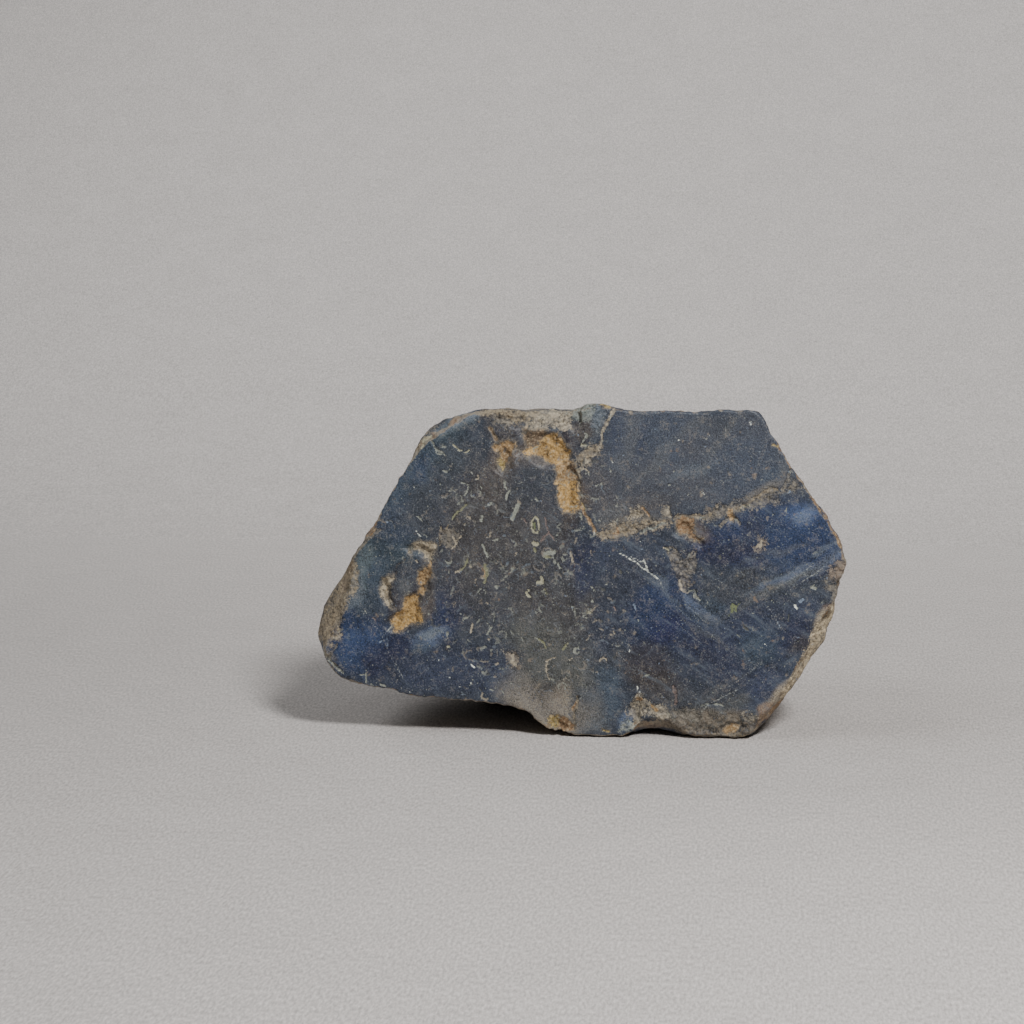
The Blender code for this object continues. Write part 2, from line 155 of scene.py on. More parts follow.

# Soft tones on the sawn face, later over earlier, some of them painted light on the top-left bevel:
# colour, middle across and up, half length, half height, turn in degrees and strength.
TONES = (
    ("steel blue", 9.7, 26.3, 5.3, 3.4, 60, 0.9), ("teal", 7.6, 19.5, 4.8, 3.4, 60, 0.9),
    ("steel blue", 5.7, 15.9, 4, 2.2, 62, 0.7), ("light teal", 5.3, 17.3, 3, 0.9, 72, 0.85),
    ("mist blue", 4.4, 15, 2.4, 0.7, 66, 0.75), ("dusk blue", 8.8, 22, 2.6, 2, 60, 0.6),
    ("storm grey", 11.7, 23.6, 3.6, 2.6, 60, 0.7), ("teal", 13.5, 29.1, 2.6, 2.2, 30, 0.7),
    ("storm grey", 15.1, 27.3, 3, 2.6, 60, 0.7), ("steel blue", 11.9, 28.6, 1.4, 1.2, 40, 0.8),
    ("vivid blue", 11.3, 27.1, 1.4, 0.8, 60, 0.35), ("deep blue", 9.1, 14.9, 3, 2.2, 70, 0.5),
    ("storm grey", 9.1, 16.4, 2.4, 1.4, 75, 0.7), ("haze grey", 9.5, 15.4, 0.8, 0.7, 0, 0.5),
    ("vivid blue", 4.8, 9.2, 4, 3.8, 20, 1), ("vivid blue", 3.8, 11.6, 1.8, 1.4, 70, 0.7),
    ("ink blue", 7.1, 7.7, 2, 1.8, 40, 0.5), ("deep blue", 5.8, 11.6, 1.6, 1.6, 0, 0.6),
    ("bright blue", 4.8, 9.2, 3.2, 2.6, 20, 0.4), ("ink blue", 6.5, 6.9, 1.4, 1.2, 30, 0.85),
    ("dusk blue", 11.2, 6.5, 4.6, 2.6, 0, 0.95), ("navy", 13.8, 12.7, 3.4, 2.2, 80, 0.95),
    ("dusk blue", 15.8, 15.5, 3, 2.6, 60, 0.5), ("dusk blue", 17.7, 6.6, 4.2, 2.6, 0, 0.8),
    ("navy", 8.8, 8.9, 1.8, 1.8, 0, 0.6), ("pale blue", 12, 9.7, 2.5, 1.1, 18, 1),
    ("steel blue", 11.2, 8.7, 1.8, 0.8, 18, 0.6), ("mist blue", 12.3, 10.1, 1.5, 0.5, 15, 0.8),
    ("grey brown", 19.3, 18.1, 7.5, 7.1, 55, 0.95), ("grey brown", 16.9, 23.1, 4.6, 4, 60, 0.9),
    ("storm grey", 21.4, 26.7, 3.6, 2.6, 70, 0.85), ("warm brown", 18.7, 26, 2.6, 2, 75, 0.6),
    ("grey brown", 24.8, 14.1, 5.1, 5.1, 60, 0.8), ("olive grey", 22.8, 8.4, 4.6, 4.2, 60, 0.8),
    ("storm grey", 18.8, 14, 4.6, 2.6, 70, 0.55), ("dusk blue", 14.2, 8.3, 2.6, 2, 20, 0.5),
    ("storm grey", 24.5, 18.1, 3.4, 2.6, 70, 0.6), ("dark brown", 26.1, 22.7, 3.8, 1.3, 82, 0.8),
    ("ink blue", 27.9, 18.2, 2, 2, 60, 0.7), ("navy", 27.9, 16.6, 2.6, 1.6, 60, 0.6),
    ("slate", 28.9, 18.2, 2.4, 2.2, 0, 0.6), ("ash", 22.8, 3.8, 4.4, 2.4, -20, 0.9),
    ("bottom tan", 21.6, 2.5, 2.2, 1.2, -35, 0.8), ("bottom tan", 24.4, 1.5, 2.2, 1.2, 0, 0.6),
    ("haze grey", 27.4, 4.9, 3, 2.6, 80, 0.7), ("olive grey", 26.3, 7.1, 2, 2, 0, 0.5),
    ("haze grey", 27.8, 1.6, 1.8, 1.2, 0, 0.8), ("warm brown", 23.6, 5.3, 1.6, 1.4, 70, 0.4),
    ("storm grey", 28.8, 10, 3.4, 2.6, 80, 0.7), ("dusk blue", 29.4, 11.6, 2.6, 1.8, 70, 0.6),
    ("steel blue", 29.4, 6.4, 2.4, 1.7, 80, 0.7), ("plate blue", 38.8, 28.8, 11.1, 5.7, 0, 1),
    ("plate blue", 33.8, 31.1, 3.4, 2.6, 0, 0.9), ("dusk blue", 31.7, 30.3, 3, 1.6, 80, 0.7),
    ("plate brown", 28.6, 25.7, 3.8, 2, 80, 0.8), ("plate grey", 32.8, 26.5, 3, 2.4, 0, 0.7),
    ("plate brown", 31.1, 23.4, 3.8, 1.5, 5, 0.9), ("haze grey", 29.9, 23, 1.8, 0.9, 10, 0.5),
    ("plate grey", 43.9, 31.5, 2.8, 2, -40, 0.5), ("plate grey", 38.8, 31.1, 3.4, 2, 0, 0.6),
    ("storm grey", 39.9, 32.3, 2.6, 1.2, 0, 0.6), ("plate blue", 45.7, 27.6, 2.6, 2.6, -50, 0.9),
    ("steel blue", 46.2, 26.6, 1.4, 1.2, -50, 0.4), ("plate grey", 37.8, 26.1, 4.4, 2, 0, 0.8),
    ("plate brown", 37.8, 29.1, 2, 1.2, 0, 0.4), ("plate blue", 42.2, 26.5, 2.6, 1.8, 0, 0.7),
    ("grey brown", 34.3, 23.8, 2.6, 1.2, 0, 0.5), ("haze grey", 47.5, 27.4, 2, 0.7, -60, 0.5),
    ("plate grey", 48.6, 25.9, 1.4, 0.9, -50, 0.6), ("haze grey", 31.7, 30.3, 3.4, 0.9, 72, 0.55),
    ("haze grey", 35, 29.1, 5.3, 0.7, 48, 0.45), ("mist blue", 37.8, 27.3, 4, 0.5, 20, 0.35),
    ("haze grey", 40.7, 30.3, 4, 0.6, 62, 0.3), ("plate blue", 35.6, 31.3, 1.8, 1.2, 70, 0.7),
    ("dusk blue", 32.8, 18.2, 4.6, 3, -30, 0.8), ("slate", 33.8, 19.4, 3.4, 1.8, -10, 0.6),
    ("storm grey", 32.8, 16.7, 2.6, 1.6, -30, 0.5), ("deep blue", 45.9, 21.2, 8.5, 3.4, 10, 1),
    ("navy", 41.3, 19.8, 4.4, 2.4, 0, 0.85), ("ink blue", 43.6, 18.3, 2, 1.4, -20, 0.7),
    ("ink blue", 38.8, 20.3, 1.6, 1.2, 0, 0.5), ("vivid blue", 49.8, 20.6, 3, 2.6, -50, 0.9),
    ("bright blue", 48.9, 23.1, 1.7, 1.2, 20, 1), ("pale blue", 48.9, 23.1, 1, 0.6, 20, 0.9),
    ("vivid blue", 50.4, 19.4, 2.2, 1.4, 20, 0.8), ("deep blue", 45.7, 22.4, 3, 1.4, 10, 0.5),
    ("wedge purple", 44.4, 21.9, 1.6, 1.4, 60, 0.35), ("slate", 37.8, 16.8, 4.4, 2.2, 20, 0.8),
    ("storm grey", 38.8, 14.2, 3, 1.6, 20, 0.6), ("deep blue", 35, 12.4, 4.4, 3.8, 60, 0.95),
    ("vivid blue", 34, 13, 2.2, 1.8, 30, 0.9), ("royal", 35.8, 10.7, 2.5, 1.5, 20, 1),
    ("ink blue", 35.2, 10.1, 1.2, 0.7, 20, 0.5), ("deep blue", 38.8, 10.2, 2.6, 2, 0, 0.5),
    ("slate", 30.7, 14.1, 3, 2.4, 70, 0.7), ("slate", 45.3, 14.8, 6.1, 3.6, 20, 0.9),
    ("storm grey", 42.8, 15.3, 3, 1.6, 20, 0.5), ("haze grey", 48.7, 17.6, 4.4, 0.6, 34, 0.5),
    ("haze grey", 46.2, 15.3, 3.4, 0.4, 34, 0.4), ("pale blue", 51.8, 18.8, 1.6, 0.5, 34, 0.6),
    ("haze grey", 43.3, 17.1, 3, 0.4, 30, 0.35), ("pale blue", 47.9, 17.4, 5.1, 0.5, 33, 0.6),
    ("haze grey", 45.3, 15.1, 5.3, 0.4, 33, 0.45), ("deep blue", 48.7, 19.2, 4.4, 0.6, 33, 0.8),
    ("pale blue", 50.8, 18.3, 3, 0.3, 36, 0.6), ("mist blue", 49.3, 17.8, 4, 0.2, 34, 0.5),
    ("mist blue", 45.7, 16.3, 4.4, 0.2, 33, 0.4), ("ink blue", 50.2, 17.4, 2.6, 0.2, 34, 0.6),
    ("slate", 50.7, 15.4, 2.6, 2, 60, 0.7), ("haze grey", 51.8, 16.9, 1.2, 0.8, 20, 0.5),
    ("slate", 42.3, 19.8, 3.4, 1.3, 15, 0.5), ("haze grey", 46.5, 19.7, 3.8, 0.3, 24, 0.6),
    ("haze grey", 49.1, 17.3, 3.2, 0.3, 31, 0.55), ("mist blue", 51, 20.3, 2, 0.3, 27, 0.45),
    ("haze grey", 43.6, 18.7, 2, 0.4, 30, 0.4), ("dusk blue", 48.7, 12.8, 2.4, 1.8, 40, 0.7),
    ("steel blue", 40, 12.4, 3, 1.8, -45, 0.8), ("pale blue", 38.5, 13, 2.2, 0.5, -42, 0.75),
    ("haze grey", 39.4, 12, 1.4, 0.5, -42, 0.4), ("teal", 44, 9.4, 3.4, 2.6, 30, 0.9),
    ("steel blue", 43.6, 9.7, 1.8, 1.6, 30, 0.5), ("ink blue", 48, 10.3, 2, 2, 45, 0.65),
    ("dark brown", 48.3, 9.3, 1.4, 1.2, 45, 0.5), ("slate", 38.8, 8.6, 3.6, 2.6, 0, 0.9),
    ("navy", 37.8, 9.3, 2, 1.4, 0, 0.5), ("dark brown", 33.9, 7.2, 3, 2.4, -10, 1),
    ("dark brown", 33.4, 8.9, 2.6, 1.2, 0, 0.7), ("grey brown", 34.9, 5, 2.6, 1.4, 0, 0.7),
    ("slate", 41, 6.1, 4.2, 2.2, 10, 0.9), ("dusk blue", 45.8, 5.7, 2.6, 2, 40, 0.9),
    ("steel blue", 47.4, 7.4, 2.2, 1, -60, 0.35), ("storm grey", 38.9, 4, 5.1, 1.2, 5, 0.8),
    ("olive grey", 42.4, 3.9, 2.6, 0.8, 10, 0.4), ("steel blue", 29.4, 3.5, 2, 0.9, 75, 0.7),
    ("pale blue", 30.9, 1.9, 1, 0.8, 60, 0.85), ("olive grey", 39.4, 2.2, 5.7, 1.4, -4, 0.8),
    ("ash", 35.7, 2.3, 1.6, 0.9, -20, 0.6), ("foot tan", 40.1, 2.7, 5.3, 0.8, -2, 0.6),
    ("rind brown", 34.5, 1.2, 2.6, 0.7, 0, 0.95), ("brown ochre", 23.8, 29, 3.6, 2, 10, 0.42),
    ("brown ochre", 25.8, 24.7, 3, 1.5, 85, 0.42), ("brown ochre", 19.5, 28.6, 2, 1.8, 80, 0.4),
    ("brown ochre", 9.9, 13.1, 2.4, 2.2, 60, 0.35), ("warm brown", 11.4, 16.4, 2.4, 1.2, 80, 0.5),
    ("brown ochre", 37.8, 21.3, 1.6, 1.4, 0, 0.4), ("ink blue", 27.9, 19, 2.2, 1.6, 70, 0.5),
    ("ink blue", 40.8, 19.5, 4.4, 1.2, 5, 0.5), ("navy", 35, 10.1, 3.6, 2.4, 20, 0.25),
    ("vivid blue", 46.2, 19.9, 4.8, 1.6, 25, 0.3), ("ink blue", 42.3, 19.3, 3, 0.9, 10, 0.6),
    ("ink blue", 8.1, 8.5, 2, 1.4, 20, 0.5), ("navy", 43.3, 9.7, 5.9, 3.8, 20, 0.3),
    ("ink blue", 42.3, 9, 6.1, 4, 20, 0.42), ("ink blue", 33.6, 14.4, 5.1, 4, 0, 0.2),
    ("dark brown", 48, 9.3, 1.2, 0.9, 45, 0.5), ("teal", 44, 9.2, 2.4, 1.8, 30, 0.5),
    ("haze grey", 42.6, 13.1, 4.6, 0.3, 38, 0.4), ("haze grey", 40.1, 5.1, 5.1, 0.3, 30, 0.35),
    ("mist blue", 35, 14.6, 4, 0.3, -42, 0.4), ("haze grey", 38.8, 10.6, 4, 0.3, -38, 0.35),
    ("dust", 31.7, 22, 3, 0.8, 8, 0.6), ("dust", 45.1, 25, 3.4, 0.7, 24, 0.55),
    ("bottom tan", 24.8, 3.8, 3, 1, 84, 0.7), ("ash", 26.3, 2.6, 2, 1.6, 0, 0.5),
    ("ash", 22.2, 3.2, 3.4, 1.4, -28, 0.6), ("pale tan", 22.8, 1.5, 1.2, 0.7, 0, 0.4),
    ("pale tan", 25.4, 3.8, 2, 0.4, 86, 0.4), ("olive grey", 26, 6.7, 2.6, 0.8, 86, 0.6),
    ("haze grey", 27.2, 8, 2.6, 0.5, 86, 0.5), ("ash", 23.6, 3.3, 3.6, 1.5, -20, 0.55),
    ("warm brown", 11.8, 13.9, 2.4, 0.6, 75, 0.65), ("dark brown", 8, 14.7, 2, 0.5, 80, 0.6),
    ("haze grey", 9.5, 15.7, 0.9, 0.8, 0, 0.5), ("haze grey", 21.9, 32.6, 4.6, 1.1, 0, 0.8),
    ("warm brown", 18.8, 32.8, 2.2, 0.9, 0, 0.9), ("warm brown", 19.4, 31.2, 2.2, 1.4, 0, 0.6),
    # Partly painted light: the light teal and mist blue bands at the top-left bevel, on this line and the
    # next, lighten the bevel where it tilts up toward the light, over its own paler blue
    ("storm grey", 18.9, 31.4, 1.2, 0.8, 0, 0.4), ("light teal", 14.1, 31.1, 3, 0.8, 32, 0.5),
    ("mist blue", 14.5, 31.7, 3.4, 0.7, 30, 0.9), ("mist blue", 16.3, 32.8, 1.3, 0.5, 20, 0.7),
    ("pale block", 27.7, 33.2, 1.3, 0.9, 20, 1), ("mist blue", 29.3, 32.5, 1.1, 0.9, 70, 0.85),
    ("wedge purple", 26.3, 30.8, 1.9, 0.5, -88, 1), ("warm brown", 27.8, 31, 1.4, 0.9, 60, 0.8),
    ("haze grey", 29.2, 31.4, 1.2, 0.5, 65, 0.6), ("rind brown", 3.2, 15.9, 2.6, 0.8, 64, 1),
    ("rind dark", 1.8, 12.6, 2.6, 0.9, 64, 1), ("rind tan", 2.8, 13.5, 1.4, 0.5, 70, 0.9),
    ("rind dark", 1.1, 10.7, 1.4, 0.9, 64, 0.9), ("haze grey", 0.7, 8.6, 1, 0.5, -60, 0.7),
    ("dust", 2.5, 9.7, 0.6, 0.6, 0, 0.6), ("frost blue", 1.2, 8.8, 0.9, 0.6, -60, 0.5),
    ("rind grey", 1.8, 7.6, 0.8, 0.5, -50, 0.5), ("rind tan", 50.9, 11.6, 1.8, 0.9, 65, 1),
    ("rind grey", 49.4, 8.3, 2.4, 0.9, 58, 1), ("rind tan", 47.5, 5.2, 2.2, 0.9, 56, 1),
    ("rind grey", 52.3, 14.4, 2, 0.7, 78, 0.9), ("rind brown", 52.4, 17.6, 1.2, 0.8, 60, 0.9),
    ("orange rust", 51.4, 13, 0.8, 0.7, 50, 0.5), ("orange rust", 46.3, 3.2, 1, 0.8, 50, 0.8),
    ("rind brown", 48.8, 7.1, 2.2, 0.5, 58, 0.4),
)

# Crumbly crust and weathered edge, with painted light on the seam's ledge and the lower right rind: areas
# by their corners, and lines by half width and points.
CRUST_AND_PAINTED_LIGHT = (
    ("tan", 0.0, ((17, 33.8), (22.9, 33.8), (22.9, 32.8), (22.3, 32.3), (21.5, 31.6), (20.7, 31.7),
        (19.7, 32.2), (18.4, 32.6), (17, 32.8))),
    ("pale tan", 0.0, ((21.5, 31.5), (22.5, 32.5), (23.7, 33.8), (26.3, 33.8), (26.2, 32.2),
        (25.8, 31.3), (25.1, 31.1), (23.7, 31.3), (22.5, 31.2), (21.7, 31.2))),
    ("pale tan", 0.16, ((16.8, 33.3), (19, 33.2), (20.9, 33.3), (23.4, 33.2), (26.1, 33.1))),
    ("pale block", 0.0, ((26.2, 32.8), (26.7, 34), (27.9, 34.4), (28.6, 34.2), (28.5, 33),
        (27.9, 32.2), (26.9, 31.9), (26.4, 32.2))),
    ("mist blue", 0.0, ((28.6, 34), (29.6, 33.4), (29.3, 32.2), (28.7, 31.2), (28.1, 31.4),
        (28.2, 32.6))),
    ("dust", 0.0, ((18, 33), (19.6, 33), (20.1, 32.2), (19.5, 31.4), (18.3, 31.8))),
    ("pale tan", 0.14, ((30.2, 33.1), (29.7, 32.2), (29.3, 31.2), (29, 30.2), (28.6, 29.2),
        (27.9, 28.3), (27.2, 27.6), (26.6, 27.2))),
    ("tan", 0.0, ((28.8, 30.1), (28.3, 29.7), (27.7, 29.5), (27.1, 28.7), (26.3, 28.1), (26.4, 27.4),
        (27.5, 27.7), (28.3, 28.5), (28.9, 29.3))),
    ("tan", 0.18, ((26.7, 26.4), (26.8, 25.2), (26.9, 24.2))),
    ("tan", 0.0, ((28.6, 20.9), (29.3, 21.2), (30.1, 21.7), (31.1, 21.9), (31.8, 22.2), (32.8, 22.1),
        (33.8, 22.4), (34.8, 22.4), (35.7, 22.7), (36.4, 22.6), (36.5, 22.1), (35.6, 21.7),
        (34.8, 21.5), (33.8, 21.2), (32.8, 21), (32, 20.8), (31.1, 20.4), (30.1, 20.3), (29.2, 20.1),
        (28.7, 20.3))),
    ("pale tan", 0.13, ((30, 21.8), (30.5, 21.2), (30.1, 20.7))),
    ("pale tan", 0.15, ((30.7, 21.1), (31.4, 21.4), (31.9, 21.8))),
    ("chalk", 0.13, ((32.8, 21.1), (33.8, 21.3), (34.5, 21.6), (35.4, 21.9))),
    ("pale tan", 0.12, ((33.4, 21.8), (34.4, 22.1))),
    ("haze grey", 0.12, ((29.2, 20.1), (30.3, 20.2), (31.5, 20.4), (32.2, 20.8))),
    ("pale tan", 0.0, ((31.6, 22.5), (31.9, 23.2), (32.4, 23.6), (33, 23.4), (33.1, 22.9),
        (32.6, 22.4), (31.9, 22.3))),
    ("dust", 0.0, ((32.8, 22.7), (33.6, 22.5), (34.8, 22.7), (35.2, 23.5), (35.7, 23.6), (36, 22.8),
        (35, 22.1), (33.6, 22.1))),
    ("pale tan", 0.18, ((35.7, 23.5), (35.5, 23), (35.8, 22.6))),
    ("tan", 0.16, ((36.4, 22.6), (37.8, 22.6), (39, 22.7), (39.8, 23))),
    ("dust", 0.0, ((38.8, 22.7), (40, 23.5), (41, 23.7), (42.3, 24), (43.3, 24.4), (44.4, 24.7),
        (45, 25.3), (45.7, 25.6), (46.3, 25.4), (46.6, 24.7), (46.1, 24), (44.9, 23.8), (43.5, 23.6),
        (42.5, 23.2), (41.4, 22.7), (40, 22.3), (39, 22.3))),
    ("tan", 0.16, ((42.2, 23.5), (43.2, 23.9), (44.3, 24.6), (45.1, 25.2), (45.8, 25.5), (46.4, 25.2))),
    ("pale tan", 0.13, ((44.7, 24.4), (45.3, 24.7), (46, 24.9))),
    # Painted highlight: this cream line is the lit edge of the small ledge at the top of the seam
    ("cream", 0.09, ((42.9, 23.6), (43.5, 23.8), (44.3, 24.2))),
    ("tan", 0.15, ((39.2, 22.4), (40, 22.9), (40.4, 23.8))),
    ("chalk", 0.09, ((38.8, 22.6), (39.6, 22.6))),
    ("dust", 0.15, ((40.8, 21.7), (41.5, 22.4), (42.3, 22.6), (42.7, 22))),
    ("dust", 0.14, ((46.9, 25.4), (47.5, 26.6), (47.6, 27.4))),
    ("dust", 0.0, ((47, 25.2), (47.6, 26), (48.3, 26.4), (48.7, 25.7), (47.9, 25))),
    ("ash", 0.0, ((35.6, 19.4), (36.4, 19.3), (37.2, 18.3), (37.4, 19.1), (38.2, 19.1), (38.4, 18.1),
        (38.1, 16.8), (37.8, 15.9), (37.4, 15.2), (36.9, 15.4), (36.6, 16.6), (36.2, 17.7),
        (35.7, 18.7))),
    ("pale tan", 0.15, ((36.8, 16.2), (37, 15.4), (37.6, 15))),
    ("dust", 0.11, ((35.4, 19.4), (36.1, 18), (36.6, 16.6), (37.1, 15.4))),
    ("dust", 0.1, ((38.5, 19.1), (38.3, 17.7), (37.8, 16.2), (37.5, 15.2))),
    ("chalk", 0.11, ((37.8, 15.2), (38.4, 15.1), (38.3, 14.5), (38.8, 14.2))),
    ("pale tan", 0.13, ((35.2, 19.5), (36, 19.4), (36.5, 19))),
    ("chalk", 0.1, ((37.8, 19), (37.7, 17.7), (38, 16.7))),
    ("pale tan", 0.0, ((31.7, 2.7), (31.9, 3.5), (32.5, 4.5), (33.1, 4.3), (33.7, 3.7), (34.5, 3.3),
        (33.9, 2.7), (33.2, 2.2), (32.9, 1.7), (32.2, 1.5), (31.8, 2.1))),
    ("pale tan", 0.0, ((33.7, 3.8), (34.5, 3.5), (35.3, 3), (36.1, 2.4), (35.3, 1.7), (34.4, 2.3),
        (33.5, 2.7))),
    ("chalk", 0.0, ((30.8, 1.4), (31.7, 2), (32.4, 1.5), (31.7, 0.7), (30.6, 0.8))),
    ("foot tan", 0.0, ((34.6, 1.5), (35.3, 2.5), (36.1, 2), (37.1, 2.8), (38.3, 2.2), (39.5, 2.7),
        (40.5, 2.1), (41.9, 2.7), (43.3, 2.2), (44.3, 2.8), (45.5, 2.3), (44.9, 1.3), (43.7, 0.2),
        (41.9, -0.1), (38.9, -0.1), (36.9, 0.3), (35.5, 0.9))),
    ("tan", 0.0, ((37.9, 0.8), (38.9, 1.2), (40.5, 0.9), (40.1, 0.2), (38.7, 0))),
    ("tan", 0.2, ((37.3, 0.9), (39.3, 0.7), (41.5, 0.5), (43.7, 0.4), (44.9, 1))),
    ("pale tan", 0.09, ((37.9, 1.4), (39.5, 1.1), (41.1, 1.2), (43.3, 0.8))),
    ("tan", 0.15, ((26.6, 4.2), (26.4, 3), (26.2, 2), (26.1, 0.7))),
    ("pale tan", 0.09, ((26.5, 3.8), (26.4, 2.6))),
    ("tan", 0.12, ((12.9, 21.5), (13, 20.3), (12.8, 19.4))),
    ("dust", 0.0, ((13, 21.1), (14.3, 21.3), (14.9, 20.5), (14.7, 19.4), (13.8, 19), (13.1, 19.6))),
    ("bottom tan", 0.0, ((19.5, 8.7), (20.4, 8.7), (20.7, 7.7), (20.2, 7), (19.6, 7.4))),
    ("bottom tan", 0.0, ((44.3, 19.8), (44.6, 20.6), (45.2, 20.4), (45.3, 19.8), (44.7, 19.1),
        (44.3, 19.3))),
    ("rose", 0.18, ((36.3, 5.3), (36.5, 4.4), (36.3, 3.6))),
    ("rind dark", 0.13, ((7.8, 16), (7.6, 14.7), (7.9, 13.4), (8.4, 12.5))),
    ("rind dark", 0.1, ((9.2, 18), (8.5, 17.1), (8.1, 16.2))),
    ("dust", 0.0, ((35.7, 2.8), (37.3, 3.4), (38.9, 2.8), (40.5, 1.8), (39.3, 1.2), (37.3, 1.6))),
    ("pale tan", 0.0, ((43.1, 2.5), (44.1, 2.9), (45.1, 2.5), (44.5, 1.5), (43.5, 1.2))),
    ("rind brown", 0.0, ((38.9, 0.5), (40.9, 0.4), (43.7, 0.4), (43.3, -0.6), (38.9, -0.7))),
    ("chalk", 0.1, ((35.3, 2.8), (36.5, 1.9), (37.9, 1.6))),
    ("chalk", 0.09, ((38.9, 3.4), (40.1, 3.7), (41.3, 3.5))),
    ("dust", 0.16, ((6.8, 21), (5.8, 20.2), (4.9, 19.1))),
    ("tan", 0.0, ((4.4, 18.1), (2.7, 17.9), (1.4, 15.8), (-0, 13.8), (-1.1, 11.5), (-1.1, 9.6),
        (0.1, 8.8), (1.5, 9.2), (2.7, 10.4), (2.9, 12.2), (3.5, 13.8), (4.2, 15), (4.4, 16.4))),
    ("rind brown", 0.0, ((1.6, 15.1), (2.6, 14.4), (2.2, 12.8), (1.6, 11.1), (0.7, 10.1), (-0.7, 10),
        (-0.1, 12.7))),
    ("rind tan", 0.22, ((2.9, 14), (2.7, 12.6), (2.3, 11.5))),
    ("rind dark", 0.16, ((3.7, 17.3), (3.2, 15.6), (2.7, 14.2))),
    ("rind dark", 0.18, ((1.6, 13.8), (1.3, 12.1), (0.5, 10.7))),
    ("pale tan", 0.11, ((2.3, 13.8), (2, 12.1), (1.3, 10.5))),
    ("ochre", 0.1, ((1.9, 15.4), (1.2, 14.2), (0.6, 12.7))),
    ("tan", 0.12, ((2.3, 16.9), (1.2, 15), (0.3, 13.2), (-0.4, 11.3))),
    ("pale tan", 0.1, ((3.2, 16.4), (2.5, 14.8), (3.1, 14.2))),
    ("tan", 0.16, ((4.1, 17.5), (4.2, 16.1), (3.8, 14.8))),
    ("pale tan", 0.14, ((0.9, 9.5), (1.7, 9.6), (2.6, 10.3))),
    ("chalk", 0.12, ((0.7, 8.4), (1.5, 7.4), (2.7, 6.4))),
    ("pale tan", 0.16, ((3.9, 17.3), (3, 15.9), (2.2, 14), (1.2, 11.9))),
    ("ochre", 0.11, ((3.7, 17.7), (2.4, 16.3), (1.2, 14.6), (-0.1, 12.3))),
    ("dust", 0.13, ((2.1, 9.2), (1.5, 8.4), (1.3, 7.6))),
    ("tan", 0.13, ((13.9, 32.2), (13, 32.3), (12.1, 31.6), (11.3, 30.6), (10.5, 29.3), (10, 28.5))),
    ("dust", 0.0, ((10.9, 30.9), (11.9, 31.9), (13, 32.7), (14, 32.5), (12.9, 31.6), (12, 30.8),
        (11.4, 30), (10.9, 29.2), (10.1, 29.5))),
    ("rind brown", 0.12, ((13.6, 32.6), (12.4, 32), (11.4, 31.1), (10.7, 30), (9.9, 28.7))),
    ("cream", 0.13, ((11, 29.4), (11.4, 30.1), (12, 30.4))),
    ("chalk", 0.11, ((12.1, 30), (12.7, 29.2), (13.4, 28.7))),
    ("orange rust", 0.09, ((10.7, 30.1), (10, 28.8), (9.3, 27.5))),
    ("dust", 0.07, ((9.3, 27.5), (8.5, 25.9), (7.4, 24), (6.7, 22.8))),
    ("orange rust", 0.12, ((6.8, 23), (6.5, 22), (6, 21), (5.4, 20.4))),
    ("dust", 0.09, ((4.9, 20), (4.1, 18.3), (3.4, 17.1))),
    ("orange rust", 0.08, ((49.7, 24.7), (50.4, 23.7), (51.1, 22.7), (51.8, 21.4), (52.5, 20.3),
        (52.8, 19.4))),
    ("dust", 0.14, ((51.5, 22.4), (51.8, 22))),
    # Painted light: the rind along the lower right edge is much paler than the other rind colours, so
    # that it looks lit though it faces away from the key light
    ("painted lit rind", 0.0, ((51.3, 13.2), (52.3, 14.2), (53.4, 14.6), (53.3, 12.4), (52.5, 11),
        (51.7, 9.3), (50.8, 7.5), (49.4, 5.2), (48.4, 3.6), (47.4, 2.3), (46.4, 2.9), (47.1, 4.8),
        (47.8, 6.2), (48.8, 7.9), (49.6, 9.5), (49.7, 10.9), (50.5, 12.2))),
    ("rind brown", 0.0, ((53.1, 18.4), (53.2, 17.6), (52.6, 16.8), (52.1, 16.2), (51.3, 16.8),
        (51.6, 17.6), (52.4, 18.2))),
    ("dust", 0.0, ((51.7, 16.2), (52.4, 16), (52.7, 14.8), (52.1, 14), (51.8, 14.8), (51.3, 15.6))),
    ("rind brown", 0.1, ((28.9, 33.4), (30.9, 33.4), (32.8, 33.3))),
)

